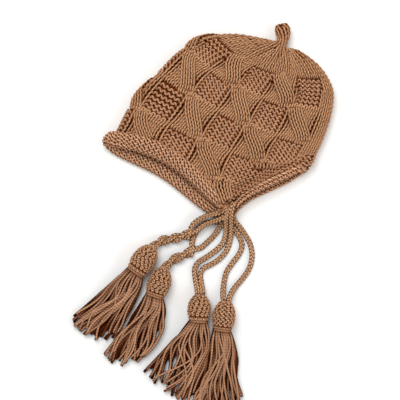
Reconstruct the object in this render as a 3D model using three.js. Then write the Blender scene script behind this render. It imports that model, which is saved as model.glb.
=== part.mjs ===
// A child's knitted bonnet with four tassels on doubled ties, lying on its side.
// Millimetres, +Z up. It rests on z = 0 and the origin is under the middle of the bonnet's box.
// Bonnet tables are written in the bonnet's own plan: "across" runs from brow to nape and "up"
// runs from the mouth to the top nub. The ties and tassels are written straight in the part's frame.
import * as THREE from "three";

// How the part lies: its place over the origin and the bonnet's turn in the plan.
const MODEL_PLACE = [-0.083, 1.722, 0];
const BONNET_TURN = THREE.MathUtils.degToRad(-27);

// The wool's thickness and the crown's cross-section.
const WALL = 3.6;
const FOLD_HEIGHT = 9;
const CROWN_RING_POINTS = 52;
const CROWN_STEPS_PER_ROW = 2;
const TOP_ROUNDNESS = 0.62;
const UNDER_ROUNDNESS = 0.34;
const UNDER_DROP = 10.6;
const LINING_CENTRE = [8, 5];
const LINING_SCALE = 0.955;

// Ties and tassels.
const GAP = 0.35;
const TIE_DIAMETER = 4.2;
const TIE_SIDES = 8;
const PAIR_DIAMETER = 9;
const HEAD_SIDES = 16;
const SKIRT_RING_POINTS = 16;
const SKIRT_STEPS = 5;

const YARN = { color: 0x9f6a44, roughness: 0.95, metalness: 0 };
const YARN_ROLL = { color: 0xa87251, roughness: 0.95, metalness: 0 };
const YARN_TIE = { color: 0x99633f, roughness: 0.95, metalness: 0 };
const YARN_TASSEL = { color: 0xa26b4b, roughness: 0.95, metalness: 0 };

// Courses of the crown from the mouth to the tip. rise is how far the upper wall stands over the fold.
const CROWN_ROWS = [
  { left: [-76.5, -22], middle: [8, -24], right: [92, 12], rise: 13.6 },
  { left: [-69, 9], middle: [9, 2], right: [91.5, 29], rise: 15.0 },
  { left: [-60.5, 37], middle: [11, 26], right: [88, 51], rise: 15.2 },
  { left: [-46, 59.5], middle: [13, 47], right: [80, 70.5], rise: 14.2 },
  { left: [-24, 75], middle: [15.5, 64], right: [62, 83], rise: 12.0 },
  { left: [0, 83.2], middle: [18, 77.5], right: [39, 88], rise: 8.4 },
  { left: [14.6, 86.6], middle: [20, 86.4], right: [25.6, 86.6], rise: 5.6 },
];

// The mouth of the crown, from the brow fold to the nape fold, for each wall.
const MOUTH_RISE = 12.2;
const MOUTH_POINTS = [
  { share: 0.0, upper: [-77.2, -49], under: [-77.2, -49] },
  { share: 0.08, upper: [-65, -46.3], under: [-67, -54.5] },
  { share: 0.17, upper: [-48, -42.6], under: [-52, -55] },
  { share: 0.27, upper: [-31, -41.6], under: [-35, -54.9] },
  { share: 0.37, upper: [-14, -43.2], under: [-17, -56] },
  { share: 0.49, upper: [6, -47.9], under: [2, -59.6] },
  { share: 0.61, upper: [27, -55], under: [21, -64.6] },
  { share: 0.68, upper: [38, -58], under: [38, -68] },
  { share: 0.75, upper: [46, -46.5], under: [49, -58] },
  { share: 0.84, upper: [57, -31], under: [61, -37] },
  { share: 0.93, upper: [69.4, -13.8], under: [74.4, -16.8] },
  { share: 1.0, upper: [91, 3], under: [91, 3] },
];

// The rolled brim, from the upper ear flap round the brow to the under ear flap.
const BRIM_SIDE = new THREE.Vector3(0.15, 0.99, 0);
const BRIM_SIDES = 12;
const BRIM_STEPS = 36;
const BRIM_ROUTE = [
  { across: 41, up: -67.2, height: 15.0, halfWidth: 3.4, halfHeight: 3.0 },
  { across: 36, up: -65.2, height: 16.2, halfWidth: 4.6, halfHeight: 3.8 },
  { across: 26, up: -61.8, height: 18.0, halfWidth: 5.7, halfHeight: 4.5 },
  { across: 6, up: -55.2, height: 19.0, halfWidth: 6.3, halfHeight: 4.8 },
  { across: -14, up: -50.6, height: 19.3, halfWidth: 6.8, halfHeight: 4.9 },
  { across: -31, up: -49.2, height: 19.3, halfWidth: 7.1, halfHeight: 4.9 },
  { across: -48, up: -50.4, height: 19.1, halfWidth: 7.3, halfHeight: 4.9 },
  { across: -62, up: -53.4, height: 18.8, halfWidth: 7.0, halfHeight: 4.8 },
  { across: -73, up: -57.2, height: 17.6, halfWidth: 6.6, halfHeight: 4.4 },
  { across: -80.3, up: -59.8, height: 11.6, halfWidth: 6.4, halfHeight: 4.3 },
  { across: -73, up: -62.6, height: 5.4, halfWidth: 6.5, halfHeight: 4.4 },
  { across: -62, up: -63.2, height: 4.9, halfWidth: 6.6, halfHeight: 4.7 },
  { across: -35, up: -62.2, height: 4.9, halfWidth: 6.7, halfHeight: 4.8 },
  { across: -17, up: -63.2, height: 4.9, halfWidth: 6.7, halfHeight: 4.8 },
  { across: 2, up: -67, height: 4.9, halfWidth: 6.6, halfHeight: 4.8 },
  { across: 21, up: -71.6, height: 4.8, halfWidth: 6.0, halfHeight: 4.6 },
  { across: 34, up: -74.2, height: 4.2, halfWidth: 4.8, halfHeight: 4.0 },
  { across: 43, up: -76, height: 3.8, halfWidth: 3.6, halfHeight: 3.2 },
];

// The neck edging, from the upper ear flap round the nape to the under ear flap.
const EDGING_SIDE = new THREE.Vector3(-0.825, 0.564, 0);
const EDGING_SIDES = 8;
const EDGING_STEPS = 20;
const EDGING_ROUTE = [
  { across: 47.6, up: -61, height: 14.4, halfWidth: 2.8, halfHeight: 2.4 },
  { across: 51.5, up: -49, height: 16.4, halfWidth: 3.3, halfHeight: 2.7 },
  { across: 62.4, up: -32.6, height: 17.4, halfWidth: 3.5, halfHeight: 2.8 },
  { across: 73.6, up: -18.4, height: 17.0, halfWidth: 3.5, halfHeight: 2.8 },
  { across: 82.5, up: -7.6, height: 15.0, halfWidth: 3.4, halfHeight: 2.8 },
  { across: 88.2, up: -4.6, height: 9.2, halfWidth: 3.2, halfHeight: 2.7 },
  { across: 84.8, up: -10.8, height: 3.6, halfWidth: 3.3, halfHeight: 2.7 },
  { across: 78.1, up: -21.3, height: 3.0, halfWidth: 3.4, halfHeight: 2.7 },
  { across: 67.1, up: -35, height: 3.0, halfWidth: 3.5, halfHeight: 2.7 },
  { across: 56.6, up: -48.8, height: 3.0, halfWidth: 3.5, halfHeight: 2.7 },
  { across: 50.6, up: -61.5, height: 3.0, halfWidth: 3.4, halfHeight: 2.7 },
  { across: 49.4, up: -70.5, height: 3.2, halfWidth: 3.0, halfHeight: 2.6 },
];

// The nub on the crown's tip, in the part's frame, from its foot to its round end.
const NUB_SIDES = 14;
const NUB_ROWS = [
  { x: 57.1, y: 68.7, radius: 5.3 },
  { x: 58.6, y: 71.8, radius: 5.8 },
  { x: 59.4, y: 76.0, radius: 6.3 },
  { x: 59.0, y: 80.0, radius: 6.6 },
  { x: 58.2, y: 83.4, radius: 6.2 },
  { x: 57.8, y: 85.4, radius: 4.6 },
  { x: 57.7, y: 86.4, radius: 2.2 },
];

// Each tie strand's centre line, from the ear flap to the tassel head or to its twisted pair.
const TIES = [
  {
    name: "tie_1a",
    route: [
      [0.9, -83.3, 14.5],
      [-9.5, -86, 10.5],
      [-18, -90, 8.6],
      [-24, -95.6, 8.2],
      [-27.4, -99.6, 5.6],
    ],
  },
  {
    name: "tie_1b",
    route: [
      [3.2, -88.2, 13.4],
      [-5.6, -91.6, 9.8],
      [-14, -95.4, 8.4],
      [-21.2, -100.9, 7.8],
      [-25, -104.9, 5.5],
    ],
  },
  {
    name: "tie_2a",
    route: [
      [0, -91.6, 3.4],
      [-11.3, -92.4, 2.4],
      [-18, -97.2, 2.3],
      [-21.2, -103.4, 2.3],
      [-23.6, -109.6, 2.3],
      [-25.6, -115.4, 3.4],
    ],
  },
  {
    name: "tie_2b",
    route: [
      [4.4, -92.2, 4.2],
      [1.2, -96.4, 2.6],
      [-3.4, -103.5, 2.3],
      [-10.4, -110.7, 2.3],
      [-16.6, -115.6, 2.5],
      [-22.4, -119.8, 4],
    ],
  },
  {
    name: "tie_3a",
    route: [
      [6.5, -89.1, 14],
      [6.8, -97.2, 7.4],
      [6.3, -104, 3.4],
      [4.5, -110.4, 2.3],
      [-1.4, -117, 2.3],
      [-10.4, -123.6, 2.3],
      [-18.5, -129, 2.3],
      [-21.4, -134.4, 2.3],
      [-20.9, -143.1, 2.3],
      [-19.4, -151, 4.4],
      [-18.8, -157.1, 8.6],
    ],
  },
  {
    name: "tie_3b",
    route: [
      [11.2, -88.7, 14],
      [11.4, -97.2, 8],
      [11.2, -104, 3.8],
      [10, -111.2, 2.3],
      [6.6, -118.9, 2.3],
      [0.2, -126, 2.3],
      [-7, -130.6, 2.3],
      [-13.9, -134.2, 2.3],
      [-16.2, -138.8, 2.3],
      [-15.6, -146.7, 2.6],
      [-14.7, -152, 5],
      [-14.3, -157.3, 8.6],
    ],
  },
  {
    name: "tie_4a",
    route: [
      [9.6, -93.6, 4],
      [14.4, -98.4, 2.5],
      [18.9, -105.3, 2.3],
      [21.4, -112.5, 2.3],
      [19.4, -119.9, 2.3],
      [13, -128.9, 2.3],
      [7.2, -137.9, 2.3],
      [4.9, -148.5, 2.3],
      [4.1, -156, 4.6],
      [4.4, -162.7, 8.8],
    ],
  },
  {
    name: "tie_4b",
    route: [
      [14.6, -90.4, 4.2],
      [20, -97.2, 2.4],
      [24.4, -103.8, 2.3],
      [28.8, -111.8, 2.3],
      [30.6, -122.4, 2.3],
      [28.3, -133.2, 2.3],
      [22, -143.1, 2.3],
      [15.2, -151, 3],
      [10.9, -157.6, 6],
      [9, -163.4, 8.8],
    ],
  },
];

// Where two strands twist round each other they are one round form.
const PAIRS = [
  {
    name: "tie_1_twist",
    route: [
      [-28, -103.5, 4.7],
      [-41, -107.2, 4.6],
      [-51.6, -109.2, 5.2],
      [-58.2, -113.4, 9],
    ],
  },
  {
    name: "tie_2_twist",
    route: [
      [-25.6, -119.2, 4.6],
      [-33.2, -122.9, 4.6],
      [-42, -127, 5.4],
      [-48, -132.8, 8.6],
    ],
  },
];

// Tassels. top and rim are the ends of the head; left and right are the middle and the end of each side.
const TASSELS = [
  {
    top: [-59.9, -115.5],
    rim: [-75.1, -137.4],
    radius: 10.9,
    left: [[-106, -157], [-130, -178]],
    right: [[-75.4, -164], [-95, -199]],
    bulge: 6,
  },
  {
    top: [-49.2, -135],
    rim: [-57.6, -158.8],
    radius: 10.6,
    left: [[-74.4, -181], [-100, -209]],
    right: [[-50, -189], [-67, -213.5]],
    bulge: 10,
  },
  {
    top: [-16.6, -158.6],
    rim: [-18.2, -181.5],
    radius: 10.4,
    left: [[-46, -204], [-67.5, -226.5]],
    right: [[-11.4, -211.5], [-28.6, -251]],
    bulge: 5,
  },
  {
    top: [6.6, -164.4],
    rim: [3.2, -189.6],
    radius: 10.4,
    left: [[-7.4, -219.6], [-23.2, -253.6]],
    right: [[18, -218], [22, -255]],
    bulge: 6,
  },
];

// A head's outline from its top to its rim, as shares of its length and radius.
const HEAD_ROWS = [
  { along: 0.0, wide: 0.5 },
  { along: 0.07, wide: 0.68 },
  { along: 0.2, wide: 0.87 },
  { along: 0.38, wide: 0.98 },
  { along: 0.55, wide: 1.0 },
  { along: 0.72, wide: 0.95 },
  { along: 0.85, wide: 0.87 },
  { along: 0.9, wide: 0.93 },
  { along: 1.0, wide: 0.9 },
];

// A skirt's section from the rim to the cut ends: its lowest and highest line.
const SKIRT_RIM_HALF_WIDTH = 8.6;
const SKIRT_ROWS = [
  { along: 0.0, under: 2.4, over: 18.2 },
  { along: 0.22, under: 0.2, over: 15.6 },
  { along: 0.5, under: 0.1, over: 12.2 },
  { along: 0.78, under: 0.1, over: 10.4 },
  { along: 1.0, under: 0.1, over: 8.4 },
];

// A closed body through a row of rings that all have the same number of points, capped at both ends.
function closedLoft(rings) {
  const count = rings[0].length;
  const positions = rings.flat().flatMap((point) => point.toArray());
  const faces = [];
  for (let row = 0; row + 1 < rings.length; row++) {
    for (let i = 0; i < count; i++) {
      const next = (i + 1) % count;
      const here = row * count;
      const above = here + count;
      faces.push(here + i, here + next, above + next);
      faces.push(here + i, above + next, above + i);
    }
  }
  addCap(positions, faces, rings[0], 0, true);
  addCap(positions, faces, rings.at(-1), (rings.length - 1) * count, false);
  const geometry = new THREE.BufferGeometry();
  geometry.setAttribute("position", new THREE.Float32BufferAttribute(positions, 3));
  geometry.setIndex(enclosedVolume(positions, faces) < 0 ? turnedRound(faces) : faces);
  geometry.computeVertexNormals();
  return geometry;
}

// Fans the end ring round its middle.
function addCap(positions, faces, ring, start, isFirst) {
  const middle = ring.reduce((sum, point) => sum.add(point), new THREE.Vector3());
  middle.divideScalar(ring.length);
  const centre = positions.length / 3;
  positions.push(...middle.toArray());
  for (let i = 0; i < ring.length; i++) {
    const here = start + i;
    const next = start + ((i + 1) % ring.length);
    faces.push(...(isFirst ? [centre, next, here] : [centre, here, next]));
  }
}

function enclosedVolume(positions, faces) {
  const corner = (i) => new THREE.Vector3().fromArray(positions, faces[i] * 3);
  let sum = 0;
  for (let i = 0; i < faces.length; i += 3) {
    sum += corner(i).dot(corner(i + 1).cross(corner(i + 2)));
  }
  return sum / 6;
}

function turnedRound(faces) {
  const turned = [...faces];
  for (let i = 0; i < turned.length; i += 3) {
    [turned[i + 1], turned[i + 2]] = [turned[i + 2], turned[i + 1]];
  }
  return turned;
}

function named(name, geometry, finish) {
  const mesh = new THREE.Mesh(geometry, new THREE.MeshStandardMaterial(finish));
  mesh.name = name;
  return mesh;
}

// A quadratic curve through three points of the plan.
function through(start, middle, end, share) {
  const first = (1 - share) * (1 - 2 * share);
  const second = 4 * share * (1 - share);
  const third = share * (2 * share - 1);
  return [0, 1].map((i) => first * start[i] + second * middle[i] + third * end[i]);
}

function mouthCurve(wall) {
  return new THREE.CatmullRomCurve3(
    MOUTH_POINTS.map((row) => new THREE.Vector3(...row[wall], row.share)),
    false,
    "catmullrom",
    0.5,
  );
}

const MOUTH_CURVES = { upper: mouthCurve("upper"), under: mouthCurve("under") };

// The mouth's point on one wall at a share of the way from the brow fold to the nape fold.
function mouthPoint(wall, share) {
  const last = MOUTH_POINTS.length - 1;
  const at = MOUTH_POINTS.findIndex((row) => row.share >= share);
  const after = Math.max(at, 1);
  const before = MOUTH_POINTS[after - 1].share;
  const part = (share - before) / (MOUTH_POINTS[after].share - before);
  const point = MOUTH_CURVES[wall].getPoint((after - 1 + part) / last);
  return [point.x, point.y];
}

// Height of a wall's outer or inner face at one angle round a crown ring.
function wallHeight(angle, rise, inset) {
  const lift = Math.sin(angle);
  if (lift >= 0) {
    return FOLD_HEIGHT + (rise - inset) * lift ** TOP_ROUNDNESS;
  }
  const drop = (UNDER_DROP - inset) * (-lift) ** UNDER_ROUNDNESS;
  return Math.max(inset, FOLD_HEIGHT - drop);
}

// One line of knitting from the mouth to the tip, at an angle round the crown.
function crownLine(angle, inset) {
  const wall = Math.sin(angle) >= 0 ? "upper" : "under";
  const share = (1 - Math.cos(angle)) / 2;
  const plans = [
    mouthPoint(wall, share),
    ...CROWN_ROWS.map((row) => through(row.left, row.middle, row.right, share)),
  ];
  const rises = [MOUTH_RISE, ...CROWN_ROWS.map((row) => row.rise)];
  const scale = inset > 0 ? LINING_SCALE : 1;
  const points = plans.map(([across, up], i) => {
    const x = LINING_CENTRE[0] + scale * (across - LINING_CENTRE[0]);
    const y = LINING_CENTRE[1] + scale * (up - LINING_CENTRE[1]);
    return new THREE.Vector3(x, y, wallHeight(angle, rises[i], inset));
  });
  const line = new THREE.CatmullRomCurve3(points, false, "catmullrom", 0.5);
  const steps = (points.length - 1) * CROWN_STEPS_PER_ROW;
  return line.getPoints(steps).map((point) => {
    return new THREE.Vector3(point.x, point.y, Math.max(inset, point.z));
  });
}

// The crown: a bag with a wool-thick wall, whose outer face turns in at the mouth and becomes the inner face.
function crownGeometry() {
  const angles = [...Array(CROWN_RING_POINTS).keys()].map(
    (i) => (2 * Math.PI * i) / CROWN_RING_POINTS,
  );
  const ringsOf = (inset) => {
    const lines = angles.map((angle) => crownLine(angle, inset));
    return lines[0].map((_, row) => lines.map((line) => line[row]));
  };
  return closedLoft([...ringsOf(0).reverse(), ...ringsOf(WALL)]);
}

// A soft roll along a route, whose section stays level with one sideways direction.
function rollGeometry(route, sideways, sides, steps) {
  const centre = new THREE.CatmullRomCurve3(
    route.map((row) => new THREE.Vector3(row.across, row.up, row.height)),
    false,
    "catmullrom",
    0.5,
  );
  const size = new THREE.CatmullRomCurve3(
    route.map((row) => new THREE.Vector3(row.halfWidth, row.halfHeight, 0)),
    false,
    "catmullrom",
    0.5,
  );
  const rings = [];
  for (let step = 0; step <= steps; step++) {
    const share = step / steps;
    const along = centre.getTangent(share);
    const side = sideways.clone().addScaledVector(along, -sideways.dot(along)).normalize();
    const over = new THREE.Vector3().crossVectors(along, side);
    const half = size.getPoint(share);
    rings.push(ovalRing(centre.getPoint(share), side, over, half.x, half.y, sides));
  }
  return closedLoft(rings);
}

function ovalRing(centre, side, over, halfWidth, halfHeight, sides) {
  return [...Array(sides).keys()].map((i) => {
    const angle = (2 * Math.PI * i) / sides;
    return centre
      .clone()
      .addScaledVector(side, halfWidth * Math.cos(angle))
      .addScaledVector(over, halfHeight * Math.sin(angle));
  });
}

function nubGeometry() {
  const level = new THREE.Vector3(0, 0, 1);
  const centres = NUB_ROWS.map((row) => new THREE.Vector3(row.x, row.y, FOLD_HEIGHT));
  const rings = NUB_ROWS.map((row, i) => {
    const before = centres[Math.max(i - 1, 0)];
    const after = centres[Math.min(i + 1, centres.length - 1)];
    const along = after.clone().sub(before).normalize();
    const side = new THREE.Vector3().crossVectors(along, level);
    return ovalRing(centres[i], side, level, row.radius, row.radius, NUB_SIDES);
  });
  return closedLoft(rings);
}

// A round cord along a route, with a step every two or three diameters.
function cordGeometry(route, diameter) {
  const path = new THREE.CatmullRomCurve3(
    route.map((point) => new THREE.Vector3(...point)),
    false,
    "centripetal",
  );
  const corners = [...Array(TIE_SIDES).keys()].map((i) => {
    const angle = (2 * Math.PI * i) / TIE_SIDES;
    return new THREE.Vector2(Math.cos(angle), Math.sin(angle)).multiplyScalar(diameter / 2);
  });
  const steps = Math.max(4, Math.round(path.getLength() / (2.3 * TIE_DIAMETER)));
  return new THREE.ExtrudeGeometry(new THREE.Shape(corners), { steps, extrudePath: path });
}

// A tassel's head: a lathed egg with a bound rim, laid along the floor.
function headMesh(name, tassel) {
  const top = new THREE.Vector3(...tassel.top, tassel.radius);
  const rim = new THREE.Vector3(...tassel.rim, tassel.radius);
  const length = top.distanceTo(rim);
  const profile = HEAD_ROWS.map(
    (row) => new THREE.Vector2(row.wide * tassel.radius, row.along * length),
  );
  const closed = [new THREE.Vector2(0, 0), ...profile, new THREE.Vector2(0, length)];
  const mesh = named(name, new THREE.LatheGeometry(closed, HEAD_SIDES), YARN_TASSEL);
  const along = rim.clone().sub(top).normalize();
  mesh.quaternion.setFromUnitVectors(new THREE.Vector3(0, 1, 0), along);
  mesh.position.copy(top);
  return mesh;
}

// A tassel's skirt: the outer form of its strands, from the rim to their cut ends.
function skirtGeometry(tassel) {
  const top = new THREE.Vector2(...tassel.top);
  const rim = new THREE.Vector2(...tassel.rim);
  const along = rim.clone().sub(top).normalize();
  const aside = new THREE.Vector2(along.y, -along.x);
  const start = rim.clone().addScaledVector(along, GAP);
  const leftStart = start.clone().addScaledVector(aside, SKIRT_RIM_HALF_WIDTH).toArray();
  const rightStart = start.clone().addScaledVector(aside, -SKIRT_RIM_HALF_WIDTH).toArray();
  const sectionOf = new THREE.SplineCurve(
    SKIRT_ROWS.map((row) => new THREE.Vector2(row.under, row.over)),
  );
  const rings = [];
  for (let step = 0; step <= SKIRT_STEPS; step++) {
    const share = step / SKIRT_STEPS;
    const left = through(leftStart, ...tassel.left, share);
    const right = through(rightStart, ...tassel.right, share);
    const section = sectionOf.getPoint(share);
    rings.push(skirtRing(left, right, along, tassel.bulge * share ** 2, section));
  }
  return closedLoft(rings);
}

function skirtRing(left, right, along, bulge, section) {
  const middle = (section.x + section.y) / 2;
  const half = (section.y - section.x) / 2;
  return [...Array(SKIRT_RING_POINTS).keys()].map((i) => {
    const angle = (2 * Math.PI * i) / SKIRT_RING_POINTS;
    const across = (1 - Math.cos(angle)) / 2;
    const push = 4 * across * (1 - across) * bulge;
    const lift = Math.sign(Math.sin(angle)) * Math.abs(Math.sin(angle)) ** 0.7;
    return new THREE.Vector3(
      left[0] + across * (right[0] - left[0]) + push * along.x,
      left[1] + across * (right[1] - left[1]) + push * along.y,
      middle + half * lift,
    );
  });
}

function makeBonnet() {
  const bonnet = new THREE.Group();
  bonnet.rotation.z = BONNET_TURN;
  const brim = rollGeometry(BRIM_ROUTE, BRIM_SIDE, BRIM_SIDES, BRIM_STEPS);
  const edging = rollGeometry(EDGING_ROUTE, EDGING_SIDE, EDGING_SIDES, EDGING_STEPS);
  bonnet.add(named("crown", crownGeometry(), YARN));
  bonnet.add(named("rolled_brim", brim, YARN_ROLL));
  bonnet.add(named("neck_edging", edging, YARN_ROLL));
  return bonnet;
}

function makeTies() {
  const ties = new THREE.Group();
  for (const { name, route } of TIES) {
    ties.add(named(name, cordGeometry(route, TIE_DIAMETER), YARN_TIE));
  }
  for (const { name, route } of PAIRS) {
    ties.add(named(name, cordGeometry(route, PAIR_DIAMETER), YARN_TIE));
  }
  return ties;
}

function makeTassels() {
  const tassels = new THREE.Group();
  TASSELS.forEach((tassel, i) => {
    tassels.add(headMesh(`tassel_head_${i + 1}`, tassel));
    tassels.add(named(`tassel_skirt_${i + 1}`, skirtGeometry(tassel), YARN_TASSEL));
  });
  return tassels;
}

const model = new THREE.Group();
model.position.set(...MODEL_PLACE);
model.add(makeBonnet());
model.add(named("top_nub", nubGeometry(), YARN));
model.add(makeTies());
model.add(makeTassels());

export default model;
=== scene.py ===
"""A child's knitted bonnet with four tassels on doubled ties, lying on its side.

Lengths are in metres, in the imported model's frame. Tables of the bonnet are written in its own plan:
"across" runs from brow to nape and "up" runs from the mouth to the top nub. All knitting is laid
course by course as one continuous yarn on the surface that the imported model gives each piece.
"""
import logging
import math
import random
from dataclasses import dataclass, field
from enum import Enum
from typing import Protocol, Sequence

import bpy
import numpy as np
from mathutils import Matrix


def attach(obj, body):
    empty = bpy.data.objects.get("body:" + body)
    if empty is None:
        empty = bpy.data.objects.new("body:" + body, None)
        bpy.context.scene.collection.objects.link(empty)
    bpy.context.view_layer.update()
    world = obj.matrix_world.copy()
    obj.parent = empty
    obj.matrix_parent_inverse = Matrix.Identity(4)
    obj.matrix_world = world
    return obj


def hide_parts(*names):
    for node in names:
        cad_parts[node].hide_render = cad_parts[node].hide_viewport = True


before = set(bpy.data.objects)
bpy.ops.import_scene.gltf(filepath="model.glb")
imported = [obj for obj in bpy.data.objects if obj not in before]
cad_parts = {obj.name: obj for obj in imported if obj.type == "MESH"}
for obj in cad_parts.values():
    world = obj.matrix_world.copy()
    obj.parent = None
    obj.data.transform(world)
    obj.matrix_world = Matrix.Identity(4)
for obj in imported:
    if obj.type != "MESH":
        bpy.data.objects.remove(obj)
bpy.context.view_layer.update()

LOG = logging.getLogger("bonnet")
TURN = 2 * math.pi
UPWARD = np.array([0.0, 0.0, 1.0])
BODY = "root"
FLOOR_CLEARANCE = 0.00015
SEED = 7
SHORTEST = 1e-12
SHORTEST_SPAN = 1e-6

# Where the part lies in its frame: its place over the origin and the bonnet's turn in the plan.
MODEL_PLACE = np.array([-0.000083, 0.001722, 0.0])
BONNET_TURN = math.radians(-27)

# The bag's section: its folds' height, how round its walls are, the under wall's drop, the mouth's rise.
FOLD_HEIGHT = 0.009
TOP_ROUNDNESS = 0.62
UNDER_ROUNDNESS = 0.34
UNDER_DROP = 0.0106
MOUTH_RISE = 0.0122

# Courses of the crown from the mouth to the tip: across and up at its left, middle and right, then rise.
CROWN_ROWS = (
    ((-0.0765, -0.022), (0.008, -0.024), (0.092, 0.012), 0.0136),
    ((-0.069, 0.009), (0.009, 0.002), (0.0915, 0.029), 0.0150),
    ((-0.0605, 0.037), (0.011, 0.026), (0.088, 0.051), 0.0152),
    ((-0.046, 0.0595), (0.013, 0.047), (0.080, 0.0705), 0.0142),
    ((-0.024, 0.075), (0.0155, 0.064), (0.062, 0.083), 0.0120),
    ((0.0, 0.0832), (0.018, 0.0775), (0.039, 0.088), 0.0084),
    ((0.0146, 0.0866), (0.020, 0.0864), (0.0256, 0.0866), 0.0056),
)

# The mouth: share of the way from the brow fold to the nape fold, the upper wall's edge, the under wall's.
MOUTH_POINTS = (
    (0.0, (-0.0772, -0.049), (-0.0772, -0.049)),
    (0.08, (-0.065, -0.0463), (-0.067, -0.0545)),
    (0.17, (-0.048, -0.0426), (-0.052, -0.055)),
    (0.27, (-0.031, -0.0416), (-0.035, -0.0549)),
    (0.37, (-0.014, -0.0432), (-0.017, -0.056)),
    (0.49, (0.006, -0.0479), (0.002, -0.0596)),
    (0.61, (0.027, -0.055), (0.021, -0.0646)),
    (0.68, (0.038, -0.058), (0.038, -0.068)),
    (0.75, (0.046, -0.0465), (0.049, -0.058)),
    (0.84, (0.057, -0.031), (0.061, -0.037)),
    (0.93, (0.0694, -0.0138), (0.0744, -0.0168)),
    (1.0, (0.091, 0.003), (0.091, 0.003)),
)

# The rolled brim and the neck edging: across, up, height, half width and half height along each.
BRIM_SIDE = (0.15, 0.99, 0.0)
BRIM_ROUTE = (
    (0.041, -0.0672, 0.0150, 0.0034, 0.0030),
    (0.036, -0.0652, 0.0162, 0.0046, 0.0038),
    (0.026, -0.0618, 0.0180, 0.0057, 0.0045),
    (0.006, -0.0552, 0.0190, 0.0063, 0.0048),
    (-0.014, -0.0506, 0.0193, 0.0068, 0.0049),
    (-0.031, -0.0492, 0.0193, 0.0071, 0.0049),
    (-0.048, -0.0504, 0.0191, 0.0073, 0.0049),
    (-0.062, -0.0534, 0.0188, 0.0070, 0.0048),
    (-0.073, -0.0572, 0.0176, 0.0066, 0.0044),
    (-0.0803, -0.0598, 0.0116, 0.0064, 0.0043),
    (-0.073, -0.0626, 0.0054, 0.0065, 0.0044),
    (-0.062, -0.0632, 0.0049, 0.0066, 0.0047),
    (-0.035, -0.0622, 0.0049, 0.0067, 0.0048),
    (-0.017, -0.0632, 0.0049, 0.0067, 0.0048),
    (0.002, -0.067, 0.0049, 0.0066, 0.0048),
    (0.021, -0.0716, 0.0048, 0.0060, 0.0046),
    (0.034, -0.0742, 0.0042, 0.0048, 0.0040),
    (0.043, -0.076, 0.0038, 0.0036, 0.0032),
)
EDGING_SIDE = (-0.825, 0.564, 0.0)
EDGING_ROUTE = (
    (0.0476, -0.061, 0.0144, 0.0028, 0.0024),
    (0.0515, -0.049, 0.0164, 0.0033, 0.0027),
    (0.0624, -0.0326, 0.0174, 0.0035, 0.0028),
    (0.0736, -0.0184, 0.0170, 0.0035, 0.0028),
    (0.0825, -0.0076, 0.0150, 0.0034, 0.0028),
    (0.0882, -0.0046, 0.0092, 0.0032, 0.0027),
    (0.0848, -0.0108, 0.0036, 0.0033, 0.0027),
    (0.0781, -0.0213, 0.0030, 0.0034, 0.0027),
    (0.0671, -0.035, 0.0030, 0.0035, 0.0027),
    (0.0566, -0.0488, 0.0030, 0.0035, 0.0027),
    (0.0506, -0.0615, 0.0030, 0.0034, 0.0027),
    (0.0494, -0.0705, 0.0032, 0.0030, 0.0026),
)

# The nub on the crown's tip, from its foot to its round end: x, y and radius of its outline.
NUB_ROWS = (
    (0.0563, 0.0690, 0.0056),
    (0.0578, 0.0718, 0.0047),
    (0.0585, 0.0756, 0.0055),
    (0.0582, 0.0796, 0.0066),
    (0.0575, 0.0830, 0.0064),
    (0.0570, 0.0852, 0.0049),
    (0.0568, 0.0862, 0.0022),
)

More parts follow.
